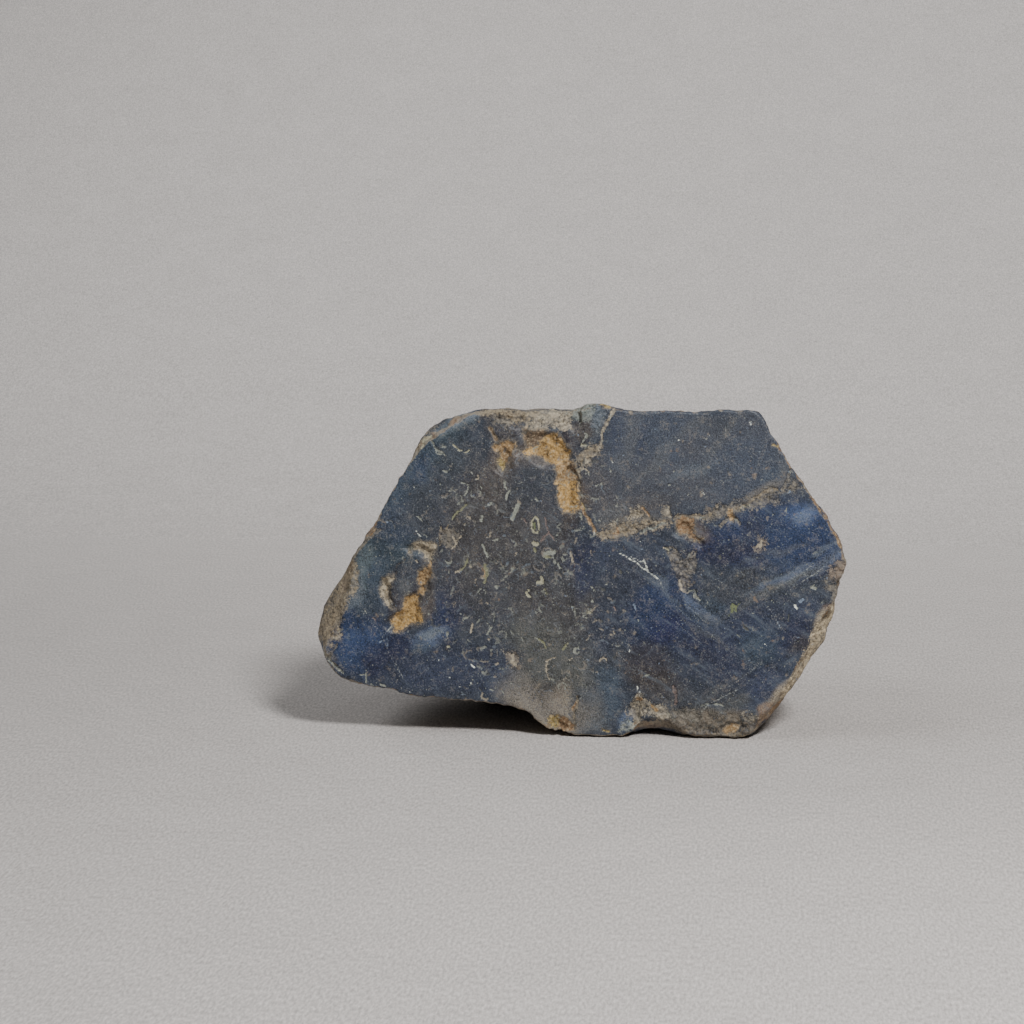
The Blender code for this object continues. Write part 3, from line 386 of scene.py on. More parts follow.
# Ochre in the pits and veins, laid down in the same way.
OCHRE = (
    ("bright ochre", 0.0, ((23, 30.1), (23.5, 30.6), (24.5, 30.9), (25.1, 30.4), (25.6, 29.7),
        (25.9, 29), (25.8, 28.4), (25.5, 27.9), (24.5, 27.7), (23.7, 28), (23.2, 28.5), (22.5, 28.8),
        (21.7, 28.6), (21.3, 29.1), (21.7, 29.5), (22.5, 29.7))),
    ("ochre", 0.0, ((24.5, 27.9), (25.5, 28.1), (26.1, 28), (26.3, 27.2), (26.6, 26.4), (25.9, 26),
        (24.9, 26), (24.5, 26.8))),
    ("bright ochre", 0.0, ((24.6, 26.2), (25.7, 26.2), (26.6, 26), (26.7, 25.2), (26.9, 24.2),
        (26.9, 23.4), (26.3, 23), (25.3, 22.9), (24.8, 23.9), (24.6, 24.9))),
    ("brown ochre", 0.0, ((21.3, 31.3), (22.3, 31.2), (23.4, 31.2), (23.7, 30.6), (23, 30.1),
        (22.5, 29.6), (21.6, 29.5), (21.2, 30.2))),
    ("brown ochre", 0.0, ((25.5, 28), (26.3, 28), (26.6, 26.8), (26.1, 26.2), (25.5, 26.8))),
    ("ochre", 0.0, ((18.3, 29.5), (18.8, 29.9), (19.7, 30.1), (20.5, 29.9), (20.5, 29.5), (20, 28.7),
        (19.6, 27.9), (19, 28), (18.9, 28.6), (18.6, 29.1))),
    ("yellow ochre", 0.0, ((18.8, 28.4), (19.5, 28.2), (19.4, 27.5), (19.1, 27.1), (18.7, 27.5))),
    ("brown ochre", 0.18, ((17.9, 31.2), (18.3, 30.7), (18.6, 30.2))),
    ("bright ochre", 0.0, ((7.8, 11), (7.8, 11.8), (8.7, 12.5), (9.1, 13.3), (9.4, 14.4),
        (10.2, 14.5), (10.7, 14.2), (10.6, 13.3), (11, 12.6), (11.1, 11.8), (10.7, 11.4), (9.7, 11.4),
        (8.9, 10.7), (8, 10.5))),
    ("ochre", 0.0, ((10.6, 16.8), (11.2, 17), (11.6, 17.3), (11.9, 16.9), (11.9, 16.3), (11.5, 15.6),
        (11.4, 14.9), (10.9, 14.3), (10.5, 14.5), (10.7, 15.3), (10.5, 16.1))),
    ("pale tan", 0.0, ((9.6, 18.4), (9.6, 19.1), (10, 19.7), (10.6, 19.9), (11.2, 19.9), (11.8, 19.8),
        (12.4, 19.4), (12.5, 18.8), (12.2, 18), (11.8, 17.8), (11.4, 18.2), (11.1, 18.8),
        (10.6, 19.1), (10.1, 18.9), (9.9, 18.4))),
    ("ochre", 0.0, ((11.2, 19), (11.9, 19.2), (12.3, 18.9), (12.1, 18.2), (11.8, 17.9), (11.4, 18.4))),
    ("ochre", 0.12, ((12, 18), (11.8, 17.4))),
    ("pale tan", 0.0, ((8.2, 16.2), (7.5, 16.2), (6.9, 15.9), (6.6, 15.2), (6.6, 14.6), (6.9, 13.9),
        (7.4, 13.5), (7.7, 12.9), (7.5, 14.2), (7.6, 15.1), (7.9, 15.8))),
    ("ochre", 0.12, ((7.4, 15.9), (7.2, 15.3), (7.3, 14.7))),
    ("orange rust", 0.0, ((36.4, 22.3), (36.9, 22.6), (37.8, 22.5), (38.1, 22.2), (38, 21.3),
        (38.4, 20.7), (39.1, 20.5), (38.9, 20.2), (38, 20.3), (37.6, 20.8), (37, 20.8), (36.6, 21.4))),
    ("ochre", 0.1, ((37.2, 22.2), (37.4, 21.5), (37.2, 21))),
    ("ochre", 0.0, ((41.6, 23.2), (42, 23.2), (42.3, 22.7), (42.1, 22.2), (41.8, 22.4))),
    ("orange rust", 0.13, ((32.9, 23.5), (33.4, 23.3), (33.7, 22.7))),
    ("orange rust", 0.15, ((27, 23.8), (27.3, 23.2), (27.7, 22.5), (28, 21.8), (28.4, 21.1))),
    ("yellow ochre", 0.09, ((27.1, 24), (27.4, 23.5))),
    ("orange rust", 0.12, ((30.2, 20.8), (30.7, 21), (30.5, 21.4))),
    ("yellow ochre", 0.0, ((23.5, 1.5), (23.9, 2.2), (24.7, 2.4), (24.8, 1.6), (24.5, 0.7), (23.9, 0.9))),
    ("orange rust", 0.0, ((24.6, 2.2), (25.4, 1.9), (26.3, 1.4), (26.1, 0.6), (25, 0.5), (24.4, 0.9))),
    ("orange rust", 0.1, ((26.4, 3.7), (26.2, 2.8))), ("yellow ochre", 0.12, ((29, 0.8), (29.8, 0.6))),
    ("ochre", 0.0, ((41.3, 1.2), (42.1, 1.6), (42.7, 1.2), (42.4, 0.7), (41.6, 0.5), (41.1, 0.8))),
    ("orange rust", 0.0, ((45.7, 2.4), (45.9, 3.1), (46.7, 3.9), (47.3, 4), (46.8, 3), (46.1, 2.3))),
    ("yellow ochre", 0.16, ((28.9, 33.8), (29.6, 33.6), (30.4, 33.6))),
    ("cream", 0.12, ((37.7, 33.5), (38.2, 33.3), (38.7, 33.4))),
    ("yellow ochre", 0.1, ((45.8, 29.9), (46.3, 29.7))),
    ("orange rust", 0.11, ((6.4, 21.1), (5.8, 20.5))),
    ("orange rust", 0.09, ((50.4, 23.8), (50.8, 23.1))),
    ("orange rust", 0.11, ((51.9, 21.1), (52.4, 20.3), (52.6, 19.6))),
    ("orange rust", 0.14, ((32.6, 4.1), (33.1, 4))), ("ochre", 0.1, ((34.1, 3.4), (34.6, 2.9))),
    ("orange rust", 0.13, ((51.4, 13.2), (50.9, 12.4))),
)

# Pale flecks: colour, half width and points.
FLECKS = (
    ("cream", 0.08, ((14.1, 29.8), (14.8, 29.1), (15.5, 28.9), (15.9, 29.2))),
    ("chalk", 0.06, ((12.3, 29.5), (12.7, 28.8), (13.4, 28.6))),
    ("chalk", 0.08, ((13.1, 29.4), (13.5, 29.4))), ("chalk", 0.09, ((13.2, 27.1), (13.7, 26.8))),
    ("chalk", 0.06, ((13.7, 26.9), (13.9, 27.2))),
    ("chalk", 0.08, ((15.1, 25.9), (15.7, 25.6), (15.7, 25.1), (15.3, 24.5))),
    ("chalk", 0.05, ((12.9, 25.8), (13.1, 25.4))), ("frost blue", 0.08, ((11.9, 25.1), (12, 24.8))),
    ("lemon", 0.11, ((15.5, 23.7), (15.1, 23.2), (14.5, 22.8))),
    ("lemon", 0.1, ((14.5, 22.8), (14.1, 22.2))), ("tan", 0.08, ((13.8, 21.8), (13.4, 21.1))),
    ("pale tan", 0.1, ((14.2, 20.3), (14.5, 19.6), (14, 19.1))),
    ("pale tan", 0.07, ((15, 20.6), (14.7, 20.1))), ("chalk", 0.09, ((10.5, 22.4), (11.1, 21.9))),
    ("frost", 0.06, ((10.3, 21), (10.8, 20.4))),
    ("haze grey", 0.07, ((7.4, 22), (8, 21.9), (8.3, 21.4), (8.2, 20.8), (7.8, 20.2))),
    ("haze grey", 0.05, ((7, 21.1), (7.4, 20.6))), ("chalk", 0.13, ((17.1, 22.5), (17, 22))),
    ("chalk", 0.08, ((17.5, 23.5), (18, 23.8))), ("chalk", 0.08, ((16.9, 25.1), (17, 24.6))),
    ("haze grey", 0.06, ((14.4, 24.7), (14.6, 24.2))), ("chalk", 0.09, ((18.2, 20.1), (18.7, 20.2))),
    ("chalk", 0.13, ((17.1, 19.6), (17.4, 19), (17.6, 18.4))),
    ("haze grey", 0.07, ((11, 26.3), (11.4, 26.1))), ("chalk", 0.1, ((19.4, 26), (19.5, 25.2))),
    ("chalk", 0.11, ((19.8, 25), (19.5, 24.2))),
    ("chalk", 0.19, ((20.7, 23.7), (20.4, 22.9), (20.1, 22.2))),
    ("chalk", 0.11, ((22.5, 24.3), (22.7, 24.1))),
    ("cream", 0.09, ((22.4, 22.5), (22, 22), (22, 21.3), (22.2, 20.9), (22.6, 20.8), (22.8, 21.4),
        (22.7, 22.2), (22.4, 22.5))),
    ("lime", 0.13, ((22.3, 21.9), (22.3, 21.3))),
    ("rose", 0.08, ((23.4, 22.3), (23.6, 21.5), (23.8, 20.9), (24.3, 20.2))),
    ("rose", 0.08, ((23.8, 20.9), (23.2, 20.4), (23, 20))), ("cream", 0.2, ((22.2, 19.8), (22.6, 19.7))),
    ("lemon", 0.15, ((22.3, 19.3), (22.4, 19))),
    ("chalk", 0.21, ((23.3, 18.7), (23.9, 18.9), (24.3, 18.9))),
    ("lemon", 0.14, ((23.3, 18.5), (23.8, 18.4))),
    ("haze grey", 0.08, ((23, 25.7), (23.6, 25.8), (24, 26.2), (24, 26.8))),
    ("rose", 0.1, ((21.2, 22.2), (21.5, 21.9))), ("haze grey", 0.08, ((21.9, 26.4), (22.5, 26.6))),
    ("cream", 0.13, ((27.1, 29.7), (27.4, 29.7))), ("chalk", 0.09, ((27.4, 30.6), (27.2, 30.1))),
    ("frost", 0.07, ((29.9, 32.7), (29.9, 32.5))),
    ("lemon", 0.11, ((15.6, 18.1), (15.4, 17.5), (14.9, 17))),
    ("pale tan", 0.11, ((14.9, 17), (14.3, 16.7))), ("chalk", 0.06, ((13.7, 16.9), (13.7, 16.7))),
    ("lemon", 0.18, ((17.3, 17.5), (17.5, 16.6), (17.3, 15.8))),
    ("ochre", 0.08, ((17.3, 17), (17.3, 16.3))), ("pale tan", 0.1, ((16, 11.5), (15.8, 10.7))),
    ("chalk", 0.09, ((15.6, 12.3), (15, 11.8))), ("chalk", 0.05, ((14.9, 12.5), (15.1, 12.3))),
    ("cream", 0.11, ((13.5, 9.1), (13.7, 9.1))),
    ("haze grey", 0.05, ((14.9, 9.4), (15, 8.7), (14.7, 8.3))),
    ("chalk", 0.11, ((17.9, 11.2), (17.5, 10.5))), ("chalk", 0.06, ((17.4, 11.8), (17.7, 11.3))),
    ("frost", 0.08, ((15.8, 7.4), (16.2, 7.1))), ("light teal", 0.11, ((5.2, 15.5), (5.3, 15))),
    ("chalk", 0.09, ((4.6, 6.1), (5.1, 6.2), (5.1, 5.2))), ("chalk", 0.06, ((5.1, 6.7), (5.2, 6.5))),
    ("chalk", 0.12, ((6.6, 5.2), (7.1, 5))), ("chalk", 0.06, ((5.6, 5.2), (5.8, 5.1))),
    ("rose", 0.07, ((5.7, 12.1), (6.1, 11.9), (6.1, 11.6))),
    ("frost blue", 0.08, ((6.6, 9.4), (6.9, 9.7))), ("frost blue", 0.07, ((7.3, 10.1), (7.4, 9.1))),
    ("haze grey", 0.05, ((11.9, 8.2), (12.1, 7.9))), ("haze grey", 0.05, ((11.3, 6.8), (11.5, 6.6))),
    ("chalk", 0.06, ((16.5, 14.6), (16.8, 15.1), (17.4, 14.8))),
    ("cream", 0.17, ((23, 16.4), (23.1, 15.8), (22.6, 15.8))),
    ("lemon", 0.1, ((23.3, 15.2), (23.5, 14.7))), ("cream", 0.15, ((21.5, 14.8), (21.8, 14.4))),
    ("cream", 0.08, ((21.6, 15.1), (21.8, 15))),
    ("chalk", 0.07, ((19.4, 17.1), (19.9, 16.8), (20.2, 17.2))),
    ("chalk", 0.08, ((20.1, 12.7), (20.2, 12.5))), ("chalk", 0.06, ((21.9, 12.5), (22, 12.4))),
    ("chalk", 0.07, ((22.3, 12.9), (22.5, 12.8))), ("cream", 0.12, ((27.7, 12.8), (28, 12.8))),
    ("chalk", 0.09, ((27.4, 12.5), (27.5, 12.2))), ("chalk", 0.05, ((28, 13.2), (28, 13))),
    ("chalk", 0.06, ((25.9, 13.5), (26.6, 13.3))), ("haze grey", 0.07, ((25.2, 13.6), (25.5, 13.4))),
    ("chalk", 0.08, ((26.1, 13), (26.4, 12.9))), ("chalk", 0.09, ((26.9, 11.7), (27.1, 11.4))),
    ("chalk", 0.05, ((26.3, 11.4), (26.7, 11.7))),
    ("lemon", 0.11, ((22.7, 10.1), (23.2, 9.7), (23.4, 9.2))),
    ("chalk", 0.08, ((22.5, 10.2), (22.8, 10))), ("lemon", 0.15, ((25.1, 9), (25.4, 9.4))),
    ("cream", 0.07, ((25.6, 9.7), (25.5, 9.4))), ("chalk", 0.14, ((26.2, 8.9), (26.4, 9.2))),
    ("chalk", 0.07, ((26.6, 9.5), (26.7, 9.1))),
    ("haze grey", 0.06, ((27.8, 9.5), (28.1, 8.9), (27.9, 8.3), (27.4, 8), (27, 8.2))),
    ("pale tan", 0.12, ((20.1, 8.4), (19.9, 7.7), (20.3, 7.3))),
    ("pale tan", 0.08, ((23.6, 7.8), (23.4, 7.1), (23.5, 6.4), (23.7, 5.9))),
    ("pale tan", 0.06, ((23.4, 7.8), (23.8, 8), (24.4, 8.2))),
    ("chalk", 0.07, ((27.9, 15.5), (28.3, 15))), ("chalk", 0.08, ((28, 14.1), (28.2, 13.9))),
    ("rose", 0.09, ((30.2, 13.5), (30.5, 13.1))), ("frost blue", 0.1, ((32.2, 13.7), (32.4, 13.2))),
    ("chalk", 0.07, ((32.6, 12.1), (32.8, 12))), ("haze grey", 0.07, ((24.8, 10.8), (25.1, 10.3))),
    ("haze grey", 0.06, ((29.5, 16.3), (29.7, 15.5))), ("chalk", 0.1, ((24.6, 17.8), (24.9, 17.2))),
    ("chalk", 0.05, ((25.6, 17), (25.7, 16.2))), ("chalk", 0.07, ((20.9, 10.3), (21.1, 9.9))),
    ("chalk", 0.06, ((19, 4.8), (19.1, 4.4))), ("olive grey", 0.12, ((30.8, 17.2), (31, 16.8))),
    ("frost", 0.08, ((32.6, 5.3), (32.8, 4.7))), ("chalk", 0.08, ((33.3, 6.4), (33.7, 6.5))),
    ("lime", 0.2, ((42, 13.8), (42, 13.1))), ("lime", 0.12, ((42.4, 13.7), (42.4, 13.1))),
    ("lime", 0.06, ((42.5, 13.5), (42.8, 14.1))), ("lime", 0.06, ((41.6, 12.6), (41.8, 12.9))),
    ("haze grey", 0.04, ((42.1, 12.6), (42.3, 12.6), (42.3, 12.4), (42.1, 12.3), (42.1, 12.6))),
    ("olive grey", 0.13, ((43.2, 11.6), (43.5, 11.3))), ("chalk", 0.07, ((42.5, 10.8), (42.9, 10.4))),
    ("frost", 0.1, ((48.2, 13.8), (48.5, 13.5))), ("frost blue", 0.16, ((48.7, 14.2), (49, 14.4))),
    ("chalk", 0.15, ((49.9, 15.6), (50.3, 15.5))), ("chalk", 0.08, ((50.1, 15.9), (50.2, 15.8))),
    ("frost", 0.05, ((48.7, 15.6), (48.8, 15.6))), ("olive grey", 0.08, ((47.6, 12.9), (47.5, 12.1))),
    ("frost blue", 0.08, ((46.6, 12.1), (46.8, 11.6))), ("frost", 0.05, ((45.2, 9.9), (45.4, 9.7))),
    ("frost", 0.05, ((45, 10.1), (45.1, 10.1))), ("pale tan", 0.13, ((44.9, 20.3), (44.8, 19.6))),
    ("pale tan", 0.09, ((44.4, 19.7), (44.6, 20))), ("chalk", 0.05, ((44.1, 22.7), (44.4, 22.2))),
    ("chalk", 0.06, ((47.3, 23.6), (47.2, 22.9))), ("cream", 0.1, ((35.4, 19.5), (35.7, 19.2))),
    ("chalk", 0.07, ((39.6, 14.1), (39.4, 13.6))), ("olive grey", 0.11, ((40.7, 18.7), (40.9, 18.4))),
    ("haze grey", 0.09, ((43, 17), (43.3, 16.8))), ("frost blue", 0.06, ((36.8, 11.9), (37.1, 11.8))),
    ("haze grey", 0.07, ((42.3, 5.2), (42.6, 5.4))), ("frost", 0.05, ((39, 25.2), (39.2, 24.9))),
    ("chalk", 0.06, ((40.9, 26.3), (41.1, 26.1))), ("haze grey", 0.07, ((40.5, 28.2), (40.6, 28))),
    ("haze grey", 0.06, ((40.5, 28.5), (39.9, 29.3))), ("chalk", 0.05, ((39.5, 30.6), (39.7, 30.8))),
    ("frost", 0.07, ((43.7, 32.2), (43.7, 31.9))), ("frost", 0.05, ((36.6, 30.3), (36.7, 30.3))),
    ("chalk", 0.06, ((47.6, 27.1), (47.8, 27.1))), ("frost blue", 0.07, ((47.5, 25.1), (47.7, 25.3))),
    ("frost", 0.06, ((12.5, 7.8), (12.6, 7.8))), ("frost", 0.05, ((13.6, 5.9), (13.7, 5.9))),
    ("frost", 0.06, ((15.8, 5.5), (15.9, 5.4))), ("frost", 0.05, ((31.8, 9.1), (31.8, 8.9))),
    ("frost", 0.05, ((30.1, 28.1), (30.1, 28))), ("frost", 0.05, ((28.3, 20.9), (28.5, 20.8))),
    ("frost", 0.05, ((32.8, 20.2), (32.9, 20.1))), ("frost", 0.05, ((10.2, 25.5), (10.3, 25.4))),
    ("frost", 0.05, ((17.1, 33.1), (17.2, 33))), ("chalk", 0.06, ((5.2, 12.7), (5.3, 12.5))),
    ("frost", 0.05, ((14.6, 5.2), (14.7, 5))), ("frost", 0.04, ((9.5, 4.4), (9.7, 4.4))),
)

# Pale scratches, whose bright white is partly painted glint: half width, strength and points.
SCRATCHES_AND_GLINTS = (
    (0.05, 1, ((30.7, 18.9), (31.7, 18.4), (32.8, 17.7), (33.8, 17), (34.7, 16.3))),
    (0.05, 0.8, ((33.2, 18.3), (33.4, 17.9), (33.6, 17.4))),
    (0.03, 0.6, ((31.9, 18.6), (32.8, 18), (33.3, 18.1))),
    (0.03, 0.45, ((33.4, 17.6), (34, 16.7), (34.8, 16.2), (35.2, 15.3))),
    (0.03, 0.3, ((4.8, 12.8), (5.6, 11.6), (6.7, 10.6), (7, 9.7))),
    (0.03, 0.28, ((7, 9.7), (7.6, 8.2), (8.4, 6.9), (9, 5.6))), (0.03, 0.3, ((7.7, 11), (7, 10.2))),
    (0.03, 0.3, ((39.6, 17), (40.4, 16.3), (41.5, 15.7))),
    (0.03, 0.26, ((40.6, 8.2), (41.5, 7.3), (42.3, 5.9))),
    (0.04, 0.3, ((42.6, 5.2), (41.3, 4.5), (39.7, 3.6), (38.9, 2.8))),
    (0.03, 0.25, ((45, 8), (43.8, 7), (42.6, 6), (41.1, 5.1))),
    (0.03, 0.25, ((35, 13.2), (36.4, 12), (37.8, 10.7), (39, 9.7))),
    (0.03, 0.25, ((35.6, 14.2), (37.2, 12.9), (39, 11.4), (40.4, 10.4))),
    (0.03, 0.3, ((47.7, 15.4), (49.5, 16.6), (51.2, 17.8))),
    (0.03, 0.25, ((46.3, 15.5), (48.3, 16.7), (49.9, 17.8))),
    (0.03, 0.22, ((45.2, 13.9), (46, 13), (46.6, 11.9), (47.8, 10.6))),
    (0.03, 0.22, ((15.9, 27.1), (16.5, 26.1), (16.9, 24.9))),
    (0.03, 0.2, ((18.8, 13.6), (18.2, 12.8), (17.6, 11.7))),
    (0.03, 0.2, ((24.9, 15.6), (25.4, 15.1), (25.6, 14.5))), (0.03, 0.22, ((39.9, 29.6), (40.4, 28.8))),
    (0.03, 0.2, ((41.2, 31.7), (41.3, 30.9))), (0.03, 0.2, ((28.7, 23.2), (29.2, 21.8), (29.5, 20.6))),
    (0.03, 0.25, ((18.6, 19.3), (17.4, 18), (16.6, 16.7))),
    (0.03, 0.25, ((18.8, 17.9), (17.8, 17.4), (17.2, 16.6))),
    (0.03, 0.2, ((30.4, 9.4), (30.8, 8.5), (31.5, 7.8))),
    (0.03, 0.22, ((28.2, 5.9), (27.6, 4.9), (26.8, 3.9))),
    (0.03, 0.3, ((37.4, 13.8), (38.4, 12.9), (39.4, 12))),
)

# Corners of the calmer plate at the upper right
PLATE = (
    (30.0, 34.5), (28.7, 30.5), (26.7, 25.0), (28.3, 20.5), (36.0, 22.0), (46.0, 24.5), (49.0, 27.5),
    (44.6, 34.5),
)

# Small flecks, wisps and specks strewn without hand placing: how many, the zone of the flecks
# (middle across and up, half length and half height), how far they stray from a clump's middle, and
# the part of the face that the wisps and specks are strewn over.
STREWN_SEED = 11
STREWN_CLUMPS = 30
STREWN_FLECKS = 440
STREWN_WISPS = 240
STREWN_SPECKS = 420
STREWN_COLORS = (
    "chalk", "haze grey", "ash", "chalk", "olive grey", "haze grey", "mist blue", "pale tan",
)
SPECK_COLORS = ("frost blue", "haze grey", "chalk")
FLECK_ZONE = (21.0, 15.5, 11.5, 15.0)
FLECK_STRAY = (1.3, 1.5)
FACE_ACROSS = (1.0, 52.0)
FACE_UP = (0.5, 33.0)
PLATE_WISPS = 0.3
FLECK_LEAN = (58.0, 40.0)

# How far behind the sawn plane a mark can show, how wide its broken edge is, how far round itself a
# mark is looked for, and the squares in which the face's outline is looked up, in mm
MARKS_REACH = 6.2
OUTLINE_CELL = 0.25
AREA_EDGE = {"crust": 0.5, "ochre": 0.26}
LINE_EDGE = 0.1
FLECK_EDGE = 0.07
MARK_MARGIN = 0.6
NO_COVER = -1.5

# Noise that moves marks and tones, so that they get natural edges: its sizes and how far it moves
MARK_WANDER = ((1.1, 0.16), (0.45, 0.12))
FLECK_WANDER = ((0.6, 0.07), (0.28, 0.05))
TONE_WANDER = ((5.0, 1.1), (1.9, 0.55), (0.8, 0.22))

# How far back the face's colours run on a bevel that looks to the front, and over which depth past
# that they and the marks fade, in mm
FRONT_REACH = 3.9
FACE_FADE = (1.2, 3.0)
FADE_CLOUDS = (2.5, 2, 130)
FADE_WANDER = 0.8
MARKS_FADE = (0.7, 1.6)
# Rind along the face's edge: the depth over which it sets in, and how much of it there is
EDGE_RIND_DEPTH = (0.15, 0.7)
EDGE_RIND = 0.75
# Where the tan rim is fainter, across and up, and by how much
PLAIN_RIM_ACROSS = (28.0, 30.0)
PLAIN_RIM_UP = (29.0, 31.0)
PLAIN_RIM = 0.6
# Where, across, the wisps change from the left half's lean to the right half's
LEAN_CHANGE = (24.0, 31.0)
LEAN_CLOUDS = (5.0, 2, 140)
LEAN_WANDER = 2.0


def steps(value, start, end):
    """0 below start, 1 above end and a smooth rise between them."""
    part = np.clip((value - start) / (end - start), 0.0, 1.0)
    return part * part * (3.0 - 2.0 * part)


def lattice_value(cell, salt):
    """A number from 0 to 1 for each whole-numbered cell, the same on every run."""
    mixed = cell[:, 0] * 73856093 ^ cell[:, 1] * 19349663 ^ cell[:, 2] * 83492791
    mixed = (mixed ^ (salt * 2654435761)) & 0x7FFFFFFF
    mixed = (mixed ^ (mixed >> 13)) * 1274126177 & 0x7FFFFFFF
    mixed = (mixed ^ (mixed >> 16)) * 974711237 & 0x7FFFFFFF
    return (mixed ^ (mixed >> 11)) % 65536 / 65535.0


def cloud(place, size, salt):
    """Smooth noise from -1 to 1 whose lumps are about size across."""
    at = place / size + 137.31
    base = np.floor(at)
    share = at - base
    share = share * share * (3.0 - 2.0 * share)
    base = base.astype(np.int64)
    total = np.zeros(len(place))
    for corner in np.ndindex(2, 2, 2):
        weight = np.ones(len(place))
        for axis in range(3):
            weight = weight * (share[:, axis] if corner[axis] else 1.0 - share[:, axis])
        total += weight * lattice_value(base + np.array(corner), salt)
    return total * 2.0 - 1.0


def clouds(place, size, octaves, salt):
    """Several sizes of smooth noise added up, each half the last."""
    total = np.zeros(len(place))
    strength = 1.0
    for octave in range(octaves):
        total += strength * cloud(place, size / 2 ** octave, salt + octave)
        strength *= 0.5
    return total / 1.6


def crumbs(place, size, salt):
    """Distance to the nearest strewn grain, as a share of size: low at each grain's middle."""
    at = place / size + 91.7
    base = np.floor(at).astype(np.int64)
    nearest = np.full(len(place), 9.0)
    for corner in np.ndindex(3, 3, 3):
        cell = base + np.array(corner) - 1
        offset = np.stack([lattice_value(cell, salt + axis) for axis in range(3)], axis=1)
        away = at - cell - offset
        nearest = np.minimum(nearest, (away * away).sum(axis=1))
    return np.sqrt(nearest)


def read_vectors(layer, name):
    flat = np.empty(len(layer) * 3)
    layer.foreach_get(name, flat)
    return flat.reshape(-1, 3)


def read_points(mesh):
    return read_vectors(mesh.vertices, "co")


def read_normals(mesh):
    return read_vectors(mesh.vertex_normals, "vector")


def write_points(mesh, points):
    """Moves the mesh's points, and keeps them inside the CAD's box."""
    kept = np.clip(points, CAD_BOUNDS[0], CAD_BOUNDS[1])
    mesh.vertices.foreach_set("co", kept.astype(np.float32).ravel())
    mesh.update()


def depth_behind(points):
    """How far behind the sawn plane each point lies, in mm."""
    return (points[:, 1] - SAWN_PLANE) / MM


def apply_modifiers(piece):
    """The piece's evaluated mesh becomes its own."""
    graph = bpy.context.evaluated_depsgraph_get()
    graph.update()
    made = bpy.data.meshes.new_from_object(piece.evaluated_get(graph))
    made.name = piece.name
    old = piece.data
    piece.modifiers.clear()
    piece.data = made
    bpy.data.meshes.remove(old)


def linked_object(name, data):
    """A new object at the origin, in the scene."""
    made = bpy.data.objects.new(name, data)
    bpy.context.scene.collection.objects.link(made)
    return made


def shade_smooth(mesh):
    for polygon in mesh.polygons:
        polygon.use_smooth = True


def weigh(piece, name, weights):
    """A vertex group with the given weights, rounded to even levels."""
    group = piece.vertex_groups.new(name=name)
    levels = np.round(weights * WEIGHT_LEVELS).astype(int)
    for level in range(1, WEIGHT_LEVELS + 1):
        members = np.nonzero(levels == level)[0].tolist()
        if members:
            group.add(members, level / WEIGHT_LEVELS, "REPLACE")


# Marks on the sawn face


def line_distance(spots, line):
    """How far each spot lies from a line through the given points."""
    nearest = np.full(len(spots), 99.0)
    for start, end in zip(line[:-1], line[1:]):
        start = np.array(start)
        along = np.array(end) - start
        length = max(float(along @ along), 1e-9)
        share = np.clip(((spots - start) @ along) / length, 0.0, 1.0)
        away = spots - start - share[:, None] * along
        nearest = np.minimum(nearest, np.sqrt((away * away).sum(axis=1)))
    return nearest


def area_depth(spots, corners):
    """How far inside an area each spot lies, less than 0 outside it."""
    ring = list(corners) + [corners[0]]
    inside = np.zeros(len(spots), dtype=bool)
    for (x0, y0), (x1, y1) in zip(ring[:-1], ring[1:]):
        crosses = (y0 > spots[:, 1]) != (y1 > spots[:, 1])
        rise = y1 - y0 if y1 != y0 else 1e-9
        inside ^= crosses & (spots[:, 0] < (x1 - x0) * (spots[:, 1] - y0) / rise + x0)
    away = line_distance(spots, ring)
    return np.where(inside, away, -away)


def mark_cover(spots, marks, area_edge, line_edge):
    """How surely a mark covers each spot, from -1.5 outside to 1.5 inside, and its tint."""
    cover = np.full(len(spots), NO_COVER)
    tint = np.zeros((len(spots), 4))
    order = np.argsort(spots[:, 0])
    sorted_across = spots[order, 0]
    for name, half_width, line, strength in marks:
        low = np.min(line, axis=0) - MARK_MARGIN - half_width
        high = np.max(line, axis=0) + MARK_MARGIN + half_width
        first, last = np.searchsorted(sorted_across, (low[0], high[0]))
        near = order[first:last]
        near = near[(spots[near, 1] > low[1]) & (spots[near, 1] < high[1])]
        if not len(near):
            continue
        if half_width:
            here = (half_width - line_distance(spots[near], line)) / line_edge
        else:
            here = area_depth(spots[near], line) / area_edge
        here = np.clip(here, NO_COVER, -NO_COVER)
        better = here > cover[near]
        cover[near[better]] = here[better]
        tint[near[better]] = (*COLORS[name], strength)
    return cover, tint


def arc(x, y, radius, start, sweep, count):
    """Points along part of a circle."""
    turns = [start + sweep * number / (count - 1) for number in range(count)]
    return tuple((x + radius * math.cos(turn), y + radius * math.sin(turn)) for turn in turns)


def clump_middles(draw):
    """Places in the fleck zone that small flecks gather round."""
    across, up, half_length, half_height = FLECK_ZONE
    clumps = []
    for count in range(STREWN_CLUMPS):
        way = draw.uniform(0.0, 2.0 * math.pi)
        far = math.sqrt(draw.uniform(0.0, 1.0))
        x = across + half_length * far * math.cos(way)
        clumps.append((x, up + half_height * far * math.sin(way)))
    return clumps


